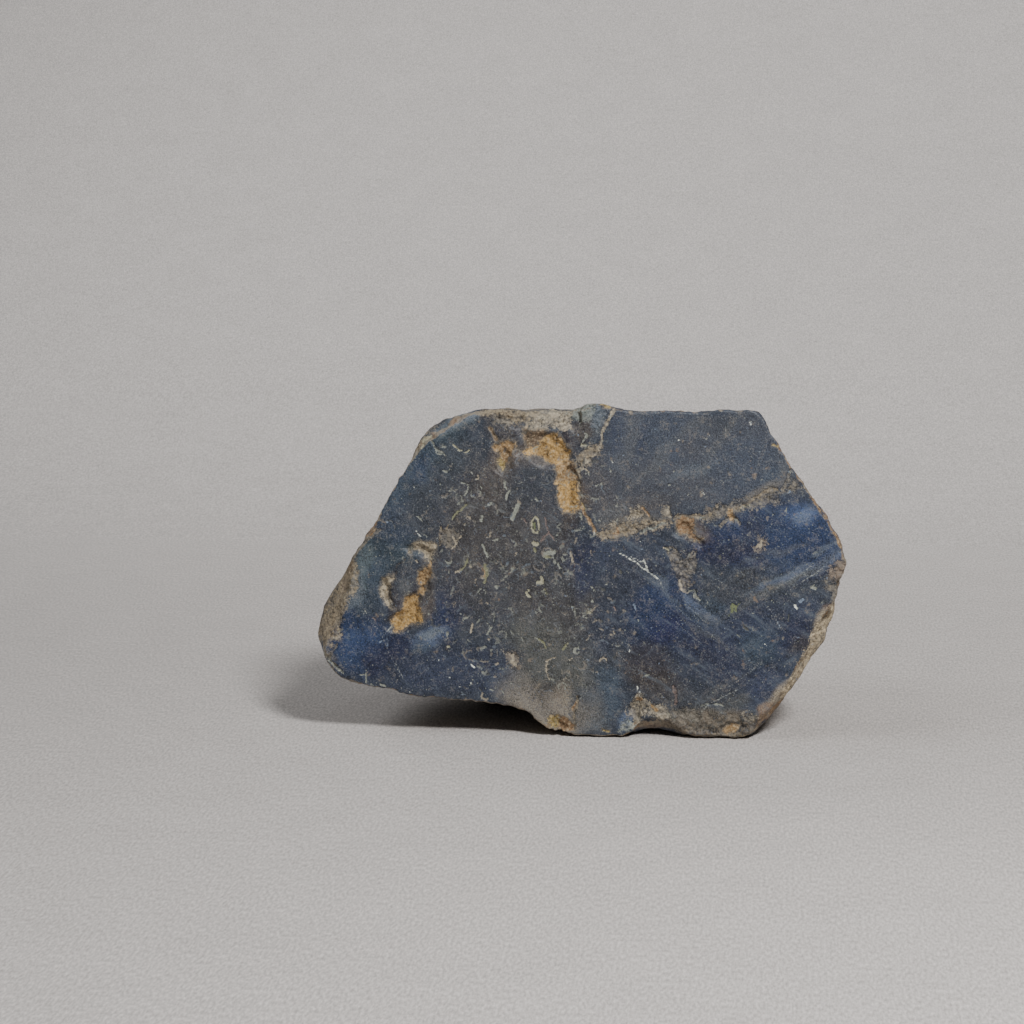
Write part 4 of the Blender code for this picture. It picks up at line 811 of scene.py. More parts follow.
def small_fleck(draw, x, y):
    """A curl, a short dash or a bent sliver: its half width and its points."""
    width = draw.uniform(0.035, 0.10)
    kind = draw.random()
    if kind < 0.4:
        radius = draw.uniform(0.15, 0.55)
        return width, arc(x, y, radius, draw.uniform(0.0, 6.28), draw.uniform(1.0, 4.2), 5)
    if kind < 0.65:
        width = draw.uniform(0.09, 0.17)
        return width, ((x, y), (x + draw.normal(0.0, 0.14), y + draw.normal(0.0, 0.14)))
    lean = math.radians(draw.normal(*FLECK_LEAN))
    length = draw.uniform(0.1, 0.5)
    bend = lean + draw.normal(0.0, 0.6)
    start = (x - length * math.cos(lean), y - length * math.sin(lean))
    end = (x + length * math.cos(bend), y + length * math.sin(bend))
    return width, (start, (x, y), end)


def strewn_marks():
    """Small curled and straight flecks in the cloudy middle, and specks all over the face."""
    draw = np.random.default_rng(STREWN_SEED)
    clumps = clump_middles(draw)
    marks = []
    for count in range(STREWN_FLECKS + STREWN_WISPS):
        middle = clumps[int(draw.integers(len(clumps)))]
        x = middle[0] + draw.normal(0.0, FLECK_STRAY[0])
        y = middle[1] + draw.normal(0.0, FLECK_STRAY[1])
        strength = draw.uniform(0.35, 0.85)
        if count >= STREWN_FLECKS:
            x = draw.uniform(*FACE_ACROSS)
            y = draw.uniform(*FACE_UP)
            strength = draw.uniform(0.2, 0.5)
            if area_depth(np.array([[x, y]]), PLATE)[0] > 0.0:
                strength *= PLATE_WISPS
        width, line = small_fleck(draw, x, y)
        color = STREWN_COLORS[int(draw.integers(len(STREWN_COLORS)))]
        marks.append((color, width, line, strength))
    for count in range(STREWN_SPECKS):
        x = draw.uniform(*FACE_ACROSS)
        y = draw.uniform(*FACE_UP)
        color = SPECK_COLORS[int(draw.integers(len(SPECK_COLORS)))]
        line = ((x, y), (x + 0.05, y + 0.05))
        marks.append((color, draw.uniform(0.045, 0.09), line, draw.uniform(0.4, 1.0)))
    return marks


def with_strength(marks, strength=1.0):
    return [(name, half_width, line, strength) for name, half_width, line in marks]


ALL_MARKS = {
    "crust": with_strength(CRUST_AND_PAINTED_LIGHT),
    "ochre": with_strength(OCHRE),
    "fleck": strewn_marks() + with_strength(FLECKS, 0.95),
    "scratch_and_glint": [("frost", half_width, line, strength) for half_width, strength, line in SCRATCHES_AND_GLINTS],
}


def face_spots(points):
    """Each point's place on the sawn face, seen from the front: across and up, in mm."""
    return np.stack([(points[:, 0] - LEFT_END) / MM, points[:, 2] / MM], axis=1)


def ragged(spots, place, wander):
    """Spots moved a little by noise, so that marks laid over them get natural edges."""
    moved = spots.copy()
    for number, (size, far) in enumerate(wander):
        moved[:, 0] += far * cloud(place, size, 40 + number * 2)
        moved[:, 1] += far * cloud(place, size, 41 + number * 2)
    return moved


def marks_at(points):
    """Every mark's cover and colour at each point of the stone."""
    cover = {name: np.full(len(points), NO_COVER) for name in ALL_MARKS}
    tint = {name: np.zeros((len(points), 4)) for name in ALL_MARKS}
    front = np.nonzero(points[:, 1] < SAWN_PLANE + MARKS_REACH * MM)[0]
    place = points[front] / MM
    spots = face_spots(points[front])
    rough_spots = ragged(spots, place, MARK_WANDER)
    fine_spots = ragged(spots, place, FLECK_WANDER)
    for name, marks in ALL_MARKS.items():
        if name in AREA_EDGE:
            found = mark_cover(rough_spots, marks, AREA_EDGE[name], LINE_EDGE)
        else:
            found = mark_cover(fine_spots, marks, FLECK_EDGE, FLECK_EDGE)
        cover[name][front], tint[name][front] = found
    return cover, tint


def blended(under, over, share):
    """Two colours, or two rows of them, mixed by the share of the second."""
    return under * (1.0 - share) + over * share


def face_tone(points):
    """The soft clouded colour of the sawn face, with painted light on the top-left bevel, laid over the
    whole stone from the front.
    """
    spots = ragged(face_spots(points), points / MM, TONE_WANDER)
    tone = np.tile(np.array(COLORS["slate"]), (len(points), 1))
    for name, across, up, long_half, short_half, turn, strength in TONES:
        way = math.radians(turn)
        x = spots[:, 0] - across
        y = spots[:, 1] - up
        along = (x * math.cos(way) + y * math.sin(way)) / long_half
        aside = (y * math.cos(way) - x * math.sin(way)) / short_half
        far = np.sqrt(along * along + aside * aside)
        share = (strength * (1.0 - steps(far, 0.45, 1.25)))[:, None]
        tone = blended(tone, np.array(COLORS[name]), share)
    return tone


def rind_share(points):
    """1 on the weathered rind behind the sawn face, 0 on the fresher breaks between its patches."""
    place = (points - np.array([LEFT_END, SAWN_PLANE, 0.0])) / MM
    field = clouds(place / RIND_PATCH * RIND_CLOUDS[0] + np.array(RIND_PLACE), *RIND_CLOUDS)
    return steps(field, -0.22, 0.12)


def side_tone(points, rind):
    """The colour of the sides and back: tan and brown rind, and blue-grey breaks."""
    place = points / MM

    def patches(size, salt, low, high, most=1.0):
        return most * steps(clouds(place, size, 3, salt), low, high)[:, None]

    def color(name):
        return np.array(COLORS[name])

    fresh = blended(color("grey brown"), color("slate"), patches(9.0, 90, -0.35, 0.35))
    fresh = blended(fresh, color("steel blue"), patches(5.0, 95, -0.2, 0.5, 0.5))
    crust = blended(color("rind brown"), color("rind tan"), patches(4.2, 100, -0.35, 0.35))
    crust = blended(crust, color("rind dark"), patches(3.0, 105, 0.12, 0.5, 0.6))
    crust = blended(crust, color("orange rust"), patches(6.0, 110, 0.18, 0.5, 0.55))
    return blended(fresh, crust, rind[:, None])


# Shape of the dressed stone


def remeshed_copy(node, name):
    """A copy of the CAD stone with its doubles merged, in small even squares."""
    shape = bmesh.new()
    shape.from_mesh(node.data)
    bmesh.ops.remove_doubles(shape, verts=shape.verts[:], dist=DOUBLES * MM)
    mesh = bpy.data.meshes.new(name)
    shape.to_mesh(mesh)
    shape.free()
    piece = linked_object(name, mesh)
    remesh = piece.modifiers.new("even squares", "REMESH")
    remesh.mode = "VOXEL"
    remesh.voxel_size = VOXEL * MM
    remesh.adaptivity = 0.0
    remesh.use_smooth_shade = True
    apply_modifiers(piece)
    return piece


def side_share(points):
    """0 on the sawn face and its shallow pits, 1 on the sides and back."""
    return steps(depth_behind(points), FLAT_SKIN, EASE_OVER)


def soften_sides(piece):
    """Takes the CAD's facets off every side but the sawn one."""
    weigh(piece, "sides", side_share(read_points(piece.data)))
    smooth = piece.modifiers.new("soften", "SMOOTH")
    smooth.factor = SMOOTH_FACTOR
    smooth.iterations = SMOOTH_ROUNDS
    smooth.vertex_group = "sides"
    apply_modifiers(piece)


def near_outline(points):
    """True where the sawn face's outline is close, seen from the front."""
    depth = depth_behind(points)
    cells = np.floor(face_spots(points) / OUTLINE_CELL).astype(int) + 8
    grid = np.zeros(cells.max(axis=0) + 9, dtype=bool)
    walls = cells[(depth > 1.2) & (depth < 2.2)]
    grid[walls[:, 0], walls[:, 1]] = True
    for spread in range(4):
        sideways = np.roll(grid, 1, 0) | np.roll(grid, -1, 0)
        grid = grid | sideways | np.roll(grid, 1, 1) | np.roll(grid, -1, 1)
    return grid[cells[:, 0], cells[:, 1]]


def rim_share(points, normals):
    """1 along the sawn face's outer edge, 0 elsewhere."""
    outward = np.sqrt(np.clip(1.0 - normals[:, 1] ** 2, 0.0, 1.0))
    shallow = 1.0 - steps(depth_behind(points), 0.6, 1.4)
    return steps(outward, 0.25, 0.7) * shallow * near_outline(points)


def reach_behind(normals):
    """How far back the face's colours run, in mm: further where a bevel looks to the front."""
    return FRONT_REACH * steps(-normals[:, 1], 0.12, 0.45)


def scooped(points):
    """Under the foot's notch the stone hangs lower behind its chipped front edge."""
    across = (points[:, 0] - LEFT_END) / MM
    up = points[:, 2] / MM
    left, right = NOTCH
    inside = steps(across, left, left + NOTCH_FADE)
    inside = inside * (1.0 - steps(across, right - NOTCH_FADE, right))
    inside *= steps(depth_behind(points), 0.1, NOTCH_EASE) * (
        1.0 - steps(up, NOTCH_TOP, NOTCH_TOP + NOTCH_FADE)
    )
    lowered = points.copy()
    lowered[:, 2] *= 1.0 - NOTCH_DROP * inside
    return lowered


def side_relief(place, sides, rind, grit):
    """Height of the lumps, grit, pocks and swells of the sides and back, in mm."""
    lumps = clouds(place, *LUMPS)
    pocks = 1.0 - steps(crumbs(place, *POCKS), 0.05, 0.5)
    swells = clouds(place, *SWELLS) * steps(place[:, 1] - SAWN_PLANE / MM, *SWELLS_FROM)
    lump_height = LUMP_HEIGHT[0] + LUMP_HEIGHT[1] * rind
    grit_height = GRIT_HEIGHT[0] + GRIT_HEIGHT[1] * rind
    relief = sides * (lumps * lump_height + grit * grit_height - POCK_DEPTH * pocks * rind)
    return relief + SWELL_HEIGHT * sides * swells


def rim_relief(points, rim, chips):
    """Height of the lumps and crumbs along the sawn edge, less its chips, in mm."""
    place = points / MM
    jagged = 1.0 + JAGGED_MORE * steps(face_spots(points)[:, 0], *JAGGED_END)
    relief = RIM_LUMP_HEIGHT * clouds(place, *RIM_LUMPS)
    relief = relief + RIM_CRUMB_HEIGHT * (0.5 - crumbs(place, *RIM_CRUMBS))
    return jagged * rim * (relief - CHIP_DEPTH * chips)


def floor_depth(place, cover, tint, grit):
    """How deep the pits, crust, flecks and scratches lie in the sawn face, in mm."""
    grains = crumbs(place, *GRAINS)
    sink = np.zeros(len(place))
    for name, (floor, grain, rough, start) in FLOORS.items():
        share = steps(cover[name], -0.5, 1.0)
        sink = np.maximum(sink, share * (floor + grain * steps(grains, start, 0.85) + rough * grit))
    sink = np.maximum(sink, FLECK_DEPTH * steps(cover["fleck"], -0.3, 0.6) * tint["fleck"][:, 3])
    sink = np.maximum(sink, SCRATCH_DEPTH * steps(cover["scratch_and_glint"], -0.5, 0.5))
    return np.minimum(sink, DEEPEST_FLOOR)


def roughen(piece):
    """Grain on the sides, and crumbled floors in the pits, crust and flecks of the sawn face."""
    mesh = piece.data
    normals = read_normals(mesh)
    points = read_points(mesh)
    flat = (points[:, 1] < SAWN_PLANE + SAWN_SKIN * MM) & (normals[:, 1] < -0.9)
    points = scooped(points)
    place = points / MM
    sides = side_share(points)
    rim = rim_share(points, normals)
    grit = clouds(place, *GRIT)
    chips = steps(clouds(place, *CHIPS), 0.05, 0.75)
    cover, tint = marks_at(points)
    out = side_relief(place, sides, rind_share(points), grit) + rim_relief(points, rim, chips)
    sink = floor_depth(place, cover, tint, grit) * MM
    front = (1.0 - sides) * steps(-normals[:, 1], 0.2, 0.7)
    low = 1.0 - steps(place[:, 2], *LIP_HEIGHT)
    lip = low * (1.0 - steps(place[:, 1] - SAWN_PLANE / MM, *LIP_DEPTH))
    points += normals * (out * MM)[:, None]
    points[:, 2] += lip * (LIP_LIFT[0] + LIP_LIFT[1] * clouds(place, *LIP_LUMPS)) * MM
    points[:, 1] += front * sink
    points[flat, 1] = SAWN_PLANE + sink[flat] + (CHIP_SETBACK * rim * chips * MM)[flat]
    write_points(mesh, points)


def thin_out(piece):
    """Fewer faces on the sides and back, and all of them kept on the sawn face."""
    triangles = sum(len(polygon.vertices) - 2 for polygon in piece.data.polygons)
    if triangles <= MOST_TRIANGLES:
        return
    piece.vertex_groups.clear()
    weigh(piece, "thin", side_share(read_points(piece.data)))
    thin = piece.modifiers.new("thin", "DECIMATE")
    thin.decimate_type = "COLLAPSE"
    thin.ratio = MOST_TRIANGLES / triangles
    thin.use_collapse_triangulate = True
    thin.vertex_group = "thin"
    thin.vertex_group_factor = KEEP_FACE
    apply_modifiers(piece)
    write_points(piece.data, read_points(piece.data))


def add_number(mesh, name, values):
    layer = mesh.attributes.new(name, "FLOAT", "POINT")
    layer.data.foreach_set("value", values.astype(np.float32))


def add_color(mesh, name, colors):
    layer = mesh.attributes.new(name, "FLOAT_COLOR", "POINT")
    if colors.shape[1] == 3:
        colors = np.concatenate([colors, np.ones((len(colors), 1))], axis=1)
    layer.data.foreach_set("color", colors.astype(np.float32).ravel())


def paint(piece):
    """Stores what the stone's material reads at each point."""
    mesh = piece.data
    points = read_points(mesh)
    normals = read_normals(mesh)
    place = points / MM
    spots = face_spots(points)
    depth = depth_behind(points)
    beyond = depth - reach_behind(normals)
    rind = rind_share(points)
    cover, tint = marks_at(points)
    behind = steps(beyond + FADE_WANDER * clouds(place, *FADE_CLOUDS), *FACE_FADE)
    edge_rind = steps(depth, *EDGE_RIND_DEPTH) * (1.0 - behind) * EDGE_RIND
    plain = steps(spots[:, 0], *PLAIN_RIM_ACROSS) * steps(spots[:, 1], *PLAIN_RIM_UP)
    marks_fade = -2.0 * NO_COVER * steps(beyond, *MARKS_FADE)
    plate = steps(area_depth(spots, PLATE), -0.5, 0.5) * (1.0 - steps(depth, 0.5, 1.5))
    lean = steps(spots[:, 0] + LEAN_WANDER * clouds(place, *LEAN_CLOUDS), *LEAN_CHANGE)
    add_color(mesh, "tone", blended(face_tone(points), side_tone(points, rind), behind[:, None]))
    add_number(mesh, "rind", np.clip(edge_rind + rind * behind, 0.0, 1.0))
    add_number(mesh, "rim", rim_share(points, normals) * (1.0 - PLAIN_RIM * plain))
    for name in ALL_MARKS:
        add_number(mesh, name, np.maximum(cover[name] - marks_fade, NO_COVER))
        add_color(mesh, name + "_tint", tint[name])
    add_number(mesh, "plate", plate)
    add_number(mesh, "lean", lean)


def dress_stone():
    """The CAD stone's shape with its finer relief, markings and material."""
    piece = remeshed_copy(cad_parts["stone"], "stone_dressed")
    soften_sides(piece)
    roughen(piece)
    thin_out(piece)
    piece.vertex_groups.clear()
    paint(piece)
    shade_smooth(piece.data)
    piece.data.materials.clear()
    piece.data.materials.append(chalcedony_material())
    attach(piece, "root")
    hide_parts("stone")


# Material

# The stone's noises: size in mm, detail, roughness and, for some, warp
COARSE = (2.4, 4.0, 0.6)
MIDDLE = (0.75, 3.0, 0.62)
FINE = (0.26, 2.0, 0.6)
DUSTING = (0.13, 1.5, 0.6)
SPARKLE = (0.19, 1.0, 0.5)
RIDGE = (3.4, 4.0, 0.6, 0.6)
RIM_NOISE = (0.9, 3.0, 0.6)
# Streaked ones: turn in degrees, stretch along the streak, and the noise
LEFT_WISP = (-62.0, 0.28, (0.9, 3.0, 0.6, 0.4))
RIGHT_WISP = (-33.0, 0.22, (0.9, 3.0, 0.6, 0.3))
STEEP_CRACK = (38.0, 0.13, (0.5, 3.0, 0.6, 0.5))
FALLING_CRACK = (-32.0, 0.07, (0.36, 3.0, 0.6, 0.3))
SPARKLE_TURN = 31.0
# Grains, in mm, and the pale dots: their spacing and how wide each is as a share of it
CRUMB = 0.55
CRUMB_FINE = 0.22
GRAIN = 0.34
GRAIN_FINE = 0.17
DOTS = ((0.42, 0.17), (0.75, 0.13))

# How much of the wisps the calmer plate keeps
PLATE_CALM = 0.4

QUARTZ_IOR = 1.54
STONE_SPECULAR = 0.42
WAXY_ROUGHNESS = (0.44, 0.60)
DRY_ROUGHNESS = 0.88
BUMP_STRENGTH = 0.6
BUMP_HEIGHT = 0.07

PAPER_COLOR = (0.54, 0.511, 0.492)
PAPER_GRAIN = (0.24, 2.0, 0.7)
PAPER_CLOUDS = (7.0, 4.0, 0.6)
PAPER_ROUGHNESS = 0.9
PAPER_SPECULAR = 0.2


class Wiring:
    """Short ways to add and join a material's nodes."""

    def __init__(self, name):
        self.material = bpy.data.materials.new(name)
        self.material.use_nodes = True
        self.tree = self.material.node_tree
        self.shader = self.tree.nodes["Principled BSDF"]

    def node(self, kind, **settings):
        made = self.tree.nodes.new(kind)
        for key, value in settings.items():
            setattr(made, key, value)
        return made

    def feed(self, socket, source):
        if isinstance(source, bpy.types.NodeSocket):
            self.tree.links.new(source, socket)
        elif isinstance(source, tuple) and len(source) == 3 and socket.type == "RGBA":
            socket.default_value = (*source, 1.0)
        else:
            socket.default_value = source

    def attribute(self, name, output="Fac"):
        return self.node("ShaderNodeAttribute", attribute_name=name).outputs[output]

    def math(self, operation, first, *others):
        """The sources joined one after another by the same operation."""
        for other in others:
            made = self.node("ShaderNodeMath", operation=operation)
            self.feed(made.inputs[0], first)
            self.feed(made.inputs[1], other)
            first = made.outputs[0]
        return first

    def total(self, *sources):
        return self.math("ADD", *sources)

    def product(self, *sources):
        return self.math("MULTIPLY", *sources)

    def blended(self, kind, share, under, over, blend="MIX"):
        made = self.node("ShaderNodeMix", data_type=kind, blend_type=blend)
        for name, source in (("Factor", share), ("A", under), ("B", over)):
            self.feed(made.inputs[name], source)
        return made.outputs["Result"]

    def mix(self, share, under, over):
        """Two colours mixed."""
        return self.blended("RGBA", share, under, over)

    def between(self, share, under, over):
        """Two numbers mixed."""
        return self.blended("FLOAT", share, under, over)

    def shaded(self, color, value):
        """The colour multiplied by a grey of the given brightness."""
        grey = self.node("ShaderNodeCombineColor")
        for socket in grey.inputs:
            self.feed(socket, value)
        return self.blended("RGBA", 1.0, color, grey.outputs[0], "MULTIPLY")

    def span(self, value, low, high, start=0.0, end=1.0, kind="SMOOTHSTEP"):
        made = self.node("ShaderNodeMapRange", interpolation_type=kind)
        for socket, source in zip(made.inputs, (value, low, high, start, end)):
            self.feed(socket, source)
        return made.outputs[0]

    def level(self, value, start, end):
        """Noise spread over the given range, its common middle values taken as 0.28 to 0.72."""
        return self.span(value, 0.28, 0.72, start, end, "LINEAR")

    def grain_level(self, value, start, end):
        """Grains spread over the given range, from their middles to the gaps between them."""
        return self.span(value, 0.1, 0.8, start, end, "LINEAR")

    def millimetres(self, turn=0.0, stretch=(1.0, 1.0, 1.0)):
        """Object coordinates in millimetres, turned about the sawn face's normal and stretched."""
        where = self.node("ShaderNodeTexCoord").outputs["Object"]
        turned = self.node("ShaderNodeMapping", vector_type="POINT")
        self.feed(turned.inputs["Vector"], where)
        turned.inputs["Rotation"].default_value = (0.0, math.radians(turn), 0.0)
        scaled = self.node("ShaderNodeVectorMath", operation="MULTIPLY")
        self.feed(scaled.inputs[0], turned.outputs["Vector"])
        scaled.inputs[1].default_value = tuple(share / MM for share in stretch)
        return scaled.outputs[0]

    def noise(self, where, size, detail=2.0, rough=0.5, warp=0.0):
        made = self.node("ShaderNodeTexNoise", noise_dimensions="3D")
        self.feed(made.inputs["Vector"], where)
        made.inputs["Scale"].default_value = 1.0 / size
        made.inputs["Detail"].default_value = detail
        made.inputs["Roughness"].default_value = rough
        made.inputs["Distortion"].default_value = warp
        return made.outputs[0]

    def streaks(self, turn, stretch, noise):
        """Noise drawn out along one direction on the sawn face."""
        return self.noise(self.millimetres(turn, (stretch, 1.0, 1.0)), *noise)

    def grains(self, where, size):
        made = self.node("ShaderNodeTexVoronoi", feature="F1")
        self.feed(made.inputs["Vector"], where)
        made.inputs["Scale"].default_value = 1.0 / size
        return made.outputs["Distance"]


def chalcedony_material():
    """Cloudy blue stone, waxy where sawn, with rind, crust, ochre, flecks and scratches over it."""
    wire = Wiring("chalcedony")
    mm = wire.millimetres()
    coarse = wire.noise(mm, *COARSE)
    middle = wire.noise(mm, *MIDDLE)
    fine = wire.noise(mm, *FINE)
    dusting = wire.noise(mm, *DUSTING)
    sparkle = wire.noise(wire.millimetres(SPARKLE_TURN), *SPARKLE)
    crumb = wire.grains(mm, CRUMB)
    crumb_fine = wire.grains(mm, CRUMB_FINE)
    grain = wire.grains(mm, GRAIN)
    grain_fine = wire.grains(mm, GRAIN_FINE)
    tone = wire.attribute("tone", "Color")
    rind = wire.attribute("rind")
    lean = wire.attribute("lean")
    calm = wire.between(wire.attribute("plate"), 1.0, PLATE_CALM)

    # Clouded body colour: brighter and darker wisps over the soft tones
    wisp = wire.between(lean, wire.streaks(*LEFT_WISP), wire.streaks(*RIGHT_WISP))
    shade = wire.total(
        wire.level(coarse, 0.78, 1.2), wire.level(wisp, -0.24, 0.22), wire.level(middle, -0.26, 0.30),
    )
    shade = wire.total(wire.product(wire.math("SUBTRACT", shade, 1.0), calm), 1.0)
    shade = wire.total(shade, wire.level(fine, -0.28, 0.30), wire.level(dusting, -0.48, 0.56))
    body = wire.shaded(tone, shade)

    # Milky wisps, thin healed cracks, pale specks and dots, and dark ridges
    milk = wire.span(wisp, 0.54, 0.76, 0.0, wire.between(lean, 0.36, 0.5))
    milk_color = wire.mix(lean, COLORS["haze grey"], COLORS["mist blue"])
    body = wire.mix(wire.product(milk, calm), body, milk_color)
    thread = wire.math(
        "MAXIMUM", wire.span(wire.streaks(*STEEP_CRACK), 0.60, 0.66),
        wire.span(wire.streaks(*FALLING_CRACK), 0.60, 0.66),
    )
    thread = wire.product(wire.span(coarse, 0.46, 0.62, 0.0, 0.34), calm, thread)
    body = wire.mix(thread, body, COLORS["mist blue"])
    speck = wire.product(
        wire.span(sparkle, 0.61, 0.70, 0.0, 0.75), wire.span(middle, 0.3, 0.6, 0.4, 1.0),
    )
    body = wire.mix(speck, body, COLORS["mist blue"])
    body = wire.mix(wire.span(sparkle, 0.37, 0.28, 0.0, 0.35), body, COLORS["ink blue"])
    for size, width in DOTS:
        dot = wire.span(wire.grains(mm, size), width, width * 0.6)
        pick = wire.product(wire.span(wire.noise(mm, size * 1.7, 1.0), 0.48, 0.6, 0.0, 0.7), calm)
        body = wire.mix(wire.product(dot, pick), body, COLORS["chalk"])
    ridge = wire.math("ABSOLUTE", wire.math("SUBTRACT", wire.noise(mm, *RIDGE), 0.5), 0.0)
    ridge = wire.product(wire.span(ridge, 0.0, 0.012, 0.5, 0.0), wire.span(middle, 0.4, 0.55), calm)
    body = wire.mix(ridge, body, COLORS["ink blue"])

    # Weathered rind: dark and light crumbs
    rind_shade = wire.total(
        wire.grain_level(crumb, 1.1, 0.86), wire.grain_level(crumb_fine, 0.16, -0.2),
        wire.level(middle, -0.30, 0.34), wire.level(fine, -0.26, 0.30),
        wire.level(coarse, -0.16, 0.18),
    )
    body = wire.mix(rind, body, wire.shaded(tone, rind_shade))

    # Tan line where the rind breaks away along the sawn edge
    rim = wire.total(wire.attribute("rim"), wire.level(wire.noise(mm, *RIM_NOISE), -0.8, 0.6))
    rim_color = wire.mix(wire.span(coarse, 0.5, 0.64), COLORS["rind tan"], COLORS["orange rust"])
    rim_color = wire.shaded(rim_color, rind_shade)
    body = wire.mix(wire.span(rim, 0.3, 0.8, 0.0, 0.8), body, rim_color)

    # Crumbly crust, ochre, flecks, and scratches with painted glint, each with its own broken edge
    broken = wire.total(
        wire.level(middle, -0.7, 0.7), wire.level(fine, -0.5, 0.5), wire.level(dusting, -0.35, 0.35),
    )
    # The crust marks also carry painted light: a highlight on the seam's ledge and the paler rind at the
    # lower right
    crust_share = wire.span(wire.total(wire.attribute("crust"), broken), -0.45, 0.45)
    crust_cover = wire.span(grain, 0.15, 0.75, 1.0, 0.45)
    crust_shade = wire.total(
        wire.grain_level(grain_fine, 1.36, 0.66), wire.level(fine, -0.4, 0.4),
        wire.level(middle, -0.5, 0.5),
    )
    crust_color = wire.shaded(wire.attribute("crust_tint", "Color"), crust_shade)
    color = wire.mix(wire.product(crust_share, crust_cover), body, crust_color)

    ochre = wire.total(wire.attribute("ochre"), broken)
    color = wire.mix(wire.span(ochre, -1.45, -0.3, 0.0, 0.55), color, COLORS["dust"])
    ochre_share = wire.span(ochre, -0.4, 0.4)
    ochre_shade = wire.total(
        wire.grain_level(grain, 1.2, 0.78), wire.grain_level(grain_fine, 0.3, -0.3),
        wire.level(fine, -0.42, 0.42), wire.level(middle, -0.26, 0.40),
    )
    ochre_color = wire.attribute("ochre_tint", "Color")
    ochre_color = wire.mix(wire.level(coarse, -0.45, 0.45), ochre_color, COLORS["brown ochre"])
    ochre_color = wire.mix(wire.span(fine, 0.5, 0.66, 0.0, 0.7), ochre_color, COLORS["tan"])
    color = wire.mix(ochre_share, color, wire.shaded(ochre_color, ochre_shade))

    fleck = wire.total(wire.attribute("fleck"), wire.level(fine, -1.0, 0.8))
    fleck_share = wire.product(wire.span(fleck, -0.6, 0.5), wire.attribute("fleck_tint", "Alpha"))
    fleck_color = wire.shaded(wire.attribute("fleck_tint", "Color"), wire.level(dusting, 0.7, 1.3))
    color = wire.mix(fleck_share, color, fleck_color)

    # Painted glint: the scratches are mixed towards frost, a white brighter than the stone, so that they
    # shine
    scratch_and_glint = wire.product(
        wire.span(wire.attribute("scratch_and_glint"), -0.7, 0.3), wire.attribute("scratch_and_glint_tint", "Alpha"),
        wire.span(fine, 0.35, 0.6, 0.35, 1.0),
    )
    color = wire.mix(scratch_and_glint, color, COLORS["frost"])
    wire.feed(wire.shader.inputs["Base Color"], color)

    # Waxy where sawn, dry where crumbled
    dry = wire.math("MAXIMUM", ochre_share, crust_share, rind, wire.product(fleck_share, 0.6))
    waxy = wire.level(middle, *WAXY_ROUGHNESS)
    wire.feed(wire.shader.inputs["Roughness"], wire.between(dry, waxy, DRY_ROUGHNESS))
    wire.shader.inputs["IOR"].default_value = QUARTZ_IOR
    wire.shader.inputs["Specular IOR Level"].default_value = STONE_SPECULAR

    # Bump: saw grain on the face, crumbs elsewhere
    saw_grain = wire.total(wire.product(fine, 0.5), wire.product(dusting, 0.4))
    crumbled = wire.total(
        wire.product(crumb, -1.2), wire.product(crumb_fine, -0.9), wire.product(grain, -0.8),
    )
    bump = wire.node("ShaderNodeBump")
    bump.inputs["Strength"].default_value = BUMP_STRENGTH
    bump.inputs["Distance"].default_value = BUMP_HEIGHT * MM
    wire.feed(bump.inputs["Height"], wire.between(dry, saw_grain, crumbled))
    wire.feed(wire.shader.inputs["Normal"], bump.outputs["Normal"])
    return wire.material


def paper_material():
    """Matt grey paper with a fine tooth and faint clouds."""
    wire = Wiring("paper")
    tooth = wire.noise(wire.millimetres(0.0, (1.0, 0.3, 1.0)), *PAPER_GRAIN)
    patches = wire.noise(wire.millimetres(), *PAPER_CLOUDS)
    mottle = wire.total(wire.level(tooth, 0.70, 1.30), wire.level(patches, -0.035, 0.035))
    wire.feed(wire.shader.inputs["Base Color"], wire.shaded(PAPER_COLOR, mottle))
    wire.shader.inputs["Roughness"].default_value = PAPER_ROUGHNESS
    wire.shader.inputs["Specular IOR Level"].default_value = PAPER_SPECULAR
    return wire.material


# Stage, lights and camera

# The paper, in metres: its front edge, where it bends up behind the stone, how tightly, how high it
# goes on, and its half width
PAPER_FRONT = -1.2
PAPER_BEND = 0.10
BEND_RADIUS = 0.30
BEND_STEPS = 24
PAPER_RISE = 1.3
PAPER_HALF_WIDTH = 1.4

# The camera: across from the stone's left end, back from the sawn plane, and up, in mm, its turns in
# degrees, and its lens and film, in mm
CAMERA_ACROSS = 47.17
CAMERA_BACK = 278.44
CAMERA_HEIGHT = 68.5
CAMERA_YAW = 5.556
CAMERA_PITCH = 9.25
CAMERA_ROLL = -0.38
LENS = 100.0
SENSOR = 36.0
NEAREST_SEEN = 0.01

# Round soft lights: name, turn from the camera's own direction, height in degrees, distance, size,
# power and colour
LIGHTS = (
    ("key", 25.0, 42.0, 0.27, 0.054, 0.785, (1.0, 0.985, 0.97)),
    ("fill", -80.0, 45.0, 0.8, 0.5, 1.6, (0.97, 0.985, 1.0)),
    ("back", -135.0, 40.0, 0.45, 0.2, 0.27, (1.0, 1.0, 1.0)),
)
# A pool of light on the paper behind the stone
WASH_PLACE = (0.10, 0.15, 0.60)
WASH_TARGET = (0.03, 0.27, 0.03)
WASH_SIZE = 0.05
WASH_CONE = 54.0
WASH_POWER = 8.4
ROOM_COLOR = (0.98, 0.98, 1.0, 1.0)
ROOM_LIGHT = 0.05


def extruded(shape, edges, along):
    """Extrudes the edges and returns the new ones."""
    made = bmesh.ops.extrude_edge_only(shape, edges=edges)["geom"]
    corners = [item for item in made if isinstance(item, bmesh.types.BMVert)]
    bmesh.ops.translate(shape, verts=corners, vec=along)
    return [item for item in made if isinstance(item, bmesh.types.BMEdge)]


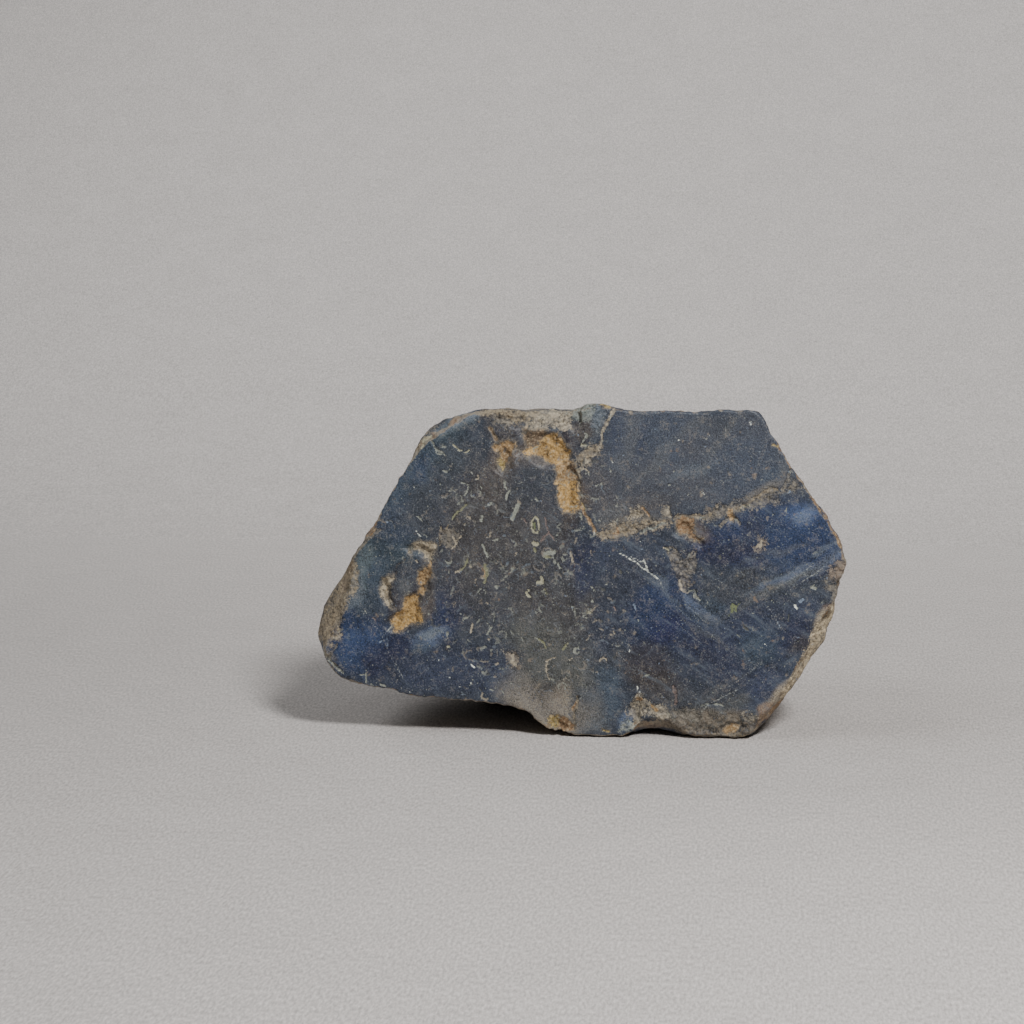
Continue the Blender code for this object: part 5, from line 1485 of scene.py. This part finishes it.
def make_paper():
    """One sheet that runs along the floor and bends up behind the stone."""
    shape = bmesh.new()
    left = shape.verts.new((-PAPER_HALF_WIDTH, PAPER_FRONT, 0.0))
    right = shape.verts.new((PAPER_HALF_WIDTH, PAPER_FRONT, 0.0))
    edge = [shape.edges.new((left, right))]
    edge = extruded(shape, edge, (0.0, PAPER_BEND - PAPER_FRONT, 0.0))
    bend = bmesh.ops.spin(
        shape, geom=edge, cent=(0.0, PAPER_BEND, BEND_RADIUS), axis=(1.0, 0.0, 0.0),
        angle=math.pi / 2, steps=BEND_STEPS, use_duplicate=False,
    )
    edge = [item for item in bend["geom_last"] if isinstance(item, bmesh.types.BMEdge)]
    extruded(shape, edge, (0.0, 0.0, PAPER_RISE))
    bmesh.ops.recalc_face_normals(shape, faces=shape.faces[:])
    mesh = bpy.data.meshes.new("paper")
    shape.to_mesh(mesh)
    shape.free()
    shade_smooth(mesh)
    piece = linked_object("paper", mesh)
    piece.data.materials.append(paper_material())


def aim_light(name, data, place, away):
    """Puts a light in its place, shining opposite to the direction away."""
    light = linked_object(name, data)
    light.location = place
    light.rotation_euler = away.to_track_quat("Z", "Y").to_euler()


def add_light(name, azimuth, elevation, distance, size, power, color):
    """A round soft light, placed round the stone's middle."""
    centre = Vector([(low + high) / 2 for low, high in zip(STONE_LOW, STONE_HIGH)])
    turn = math.radians(azimuth + CAMERA_YAW)
    rise = math.radians(elevation)
    away = Vector((math.sin(turn) * math.cos(rise), -math.cos(turn) * math.cos(rise), math.sin(rise)))
    data = bpy.data.lights.new(name, "AREA")
    data.shape = "DISK"
    data.size = size
    data.energy = power
    data.color = color
    aim_light(name, data, centre + away * distance, away)


def add_wash():
    """A soft pool of light on the paper behind the stone, and not on the stone."""
    data = bpy.data.lights.new("wash", "SPOT")
    data.shadow_soft_size = WASH_SIZE
    data.spot_size = math.radians(WASH_CONE)
    data.spot_blend = 1.0
    data.energy = WASH_POWER
    aim_light("wash", data, WASH_PLACE, Vector(WASH_PLACE) - Vector(WASH_TARGET))


def light_room():
    add_wash()
    for light in LIGHTS:
        add_light(*light)
    world = bpy.data.worlds.new("room")
    world.use_nodes = True
    sky = world.node_tree.nodes["Background"]
    sky.inputs["Color"].default_value = ROOM_COLOR
    sky.inputs["Strength"].default_value = ROOM_LIGHT
    bpy.context.scene.world = world


def place_camera():
    """A long lens, close to the floor and tipped a little down."""
    yaw = math.radians(CAMERA_YAW)
    pitch = math.radians(CAMERA_PITCH)
    roll = math.radians(CAMERA_ROLL)
    across = Vector((math.cos(yaw), math.sin(yaw), 0.0))
    ahead = Vector((-math.sin(yaw), math.cos(yaw), 0.0))
    upward = Vector((0.0, 0.0, 1.0))
    view = ahead * math.cos(pitch) - upward * math.sin(pitch)
    lift = ahead * math.sin(pitch) + upward * math.cos(pitch)
    right = across * math.cos(roll) + lift * math.sin(roll)
    top = lift * math.cos(roll) - across * math.sin(roll)
    data = bpy.data.cameras.new("camera")
    data.lens = LENS
    data.sensor_width = SENSOR
    data.clip_start = NEAREST_SEEN
    camera = linked_object("camera", data)
    place = Vector((
        LEFT_END + CAMERA_ACROSS * MM, SAWN_PLANE - CAMERA_BACK * MM, CAMERA_HEIGHT * MM,
    ))
    turn = Matrix((right, top, -view)).transposed().to_4x4()
    camera.matrix_world = Matrix.Translation(place) @ turn
    bpy.context.scene.camera = camera


dress_stone()
make_paper()
light_room()
place_camera()
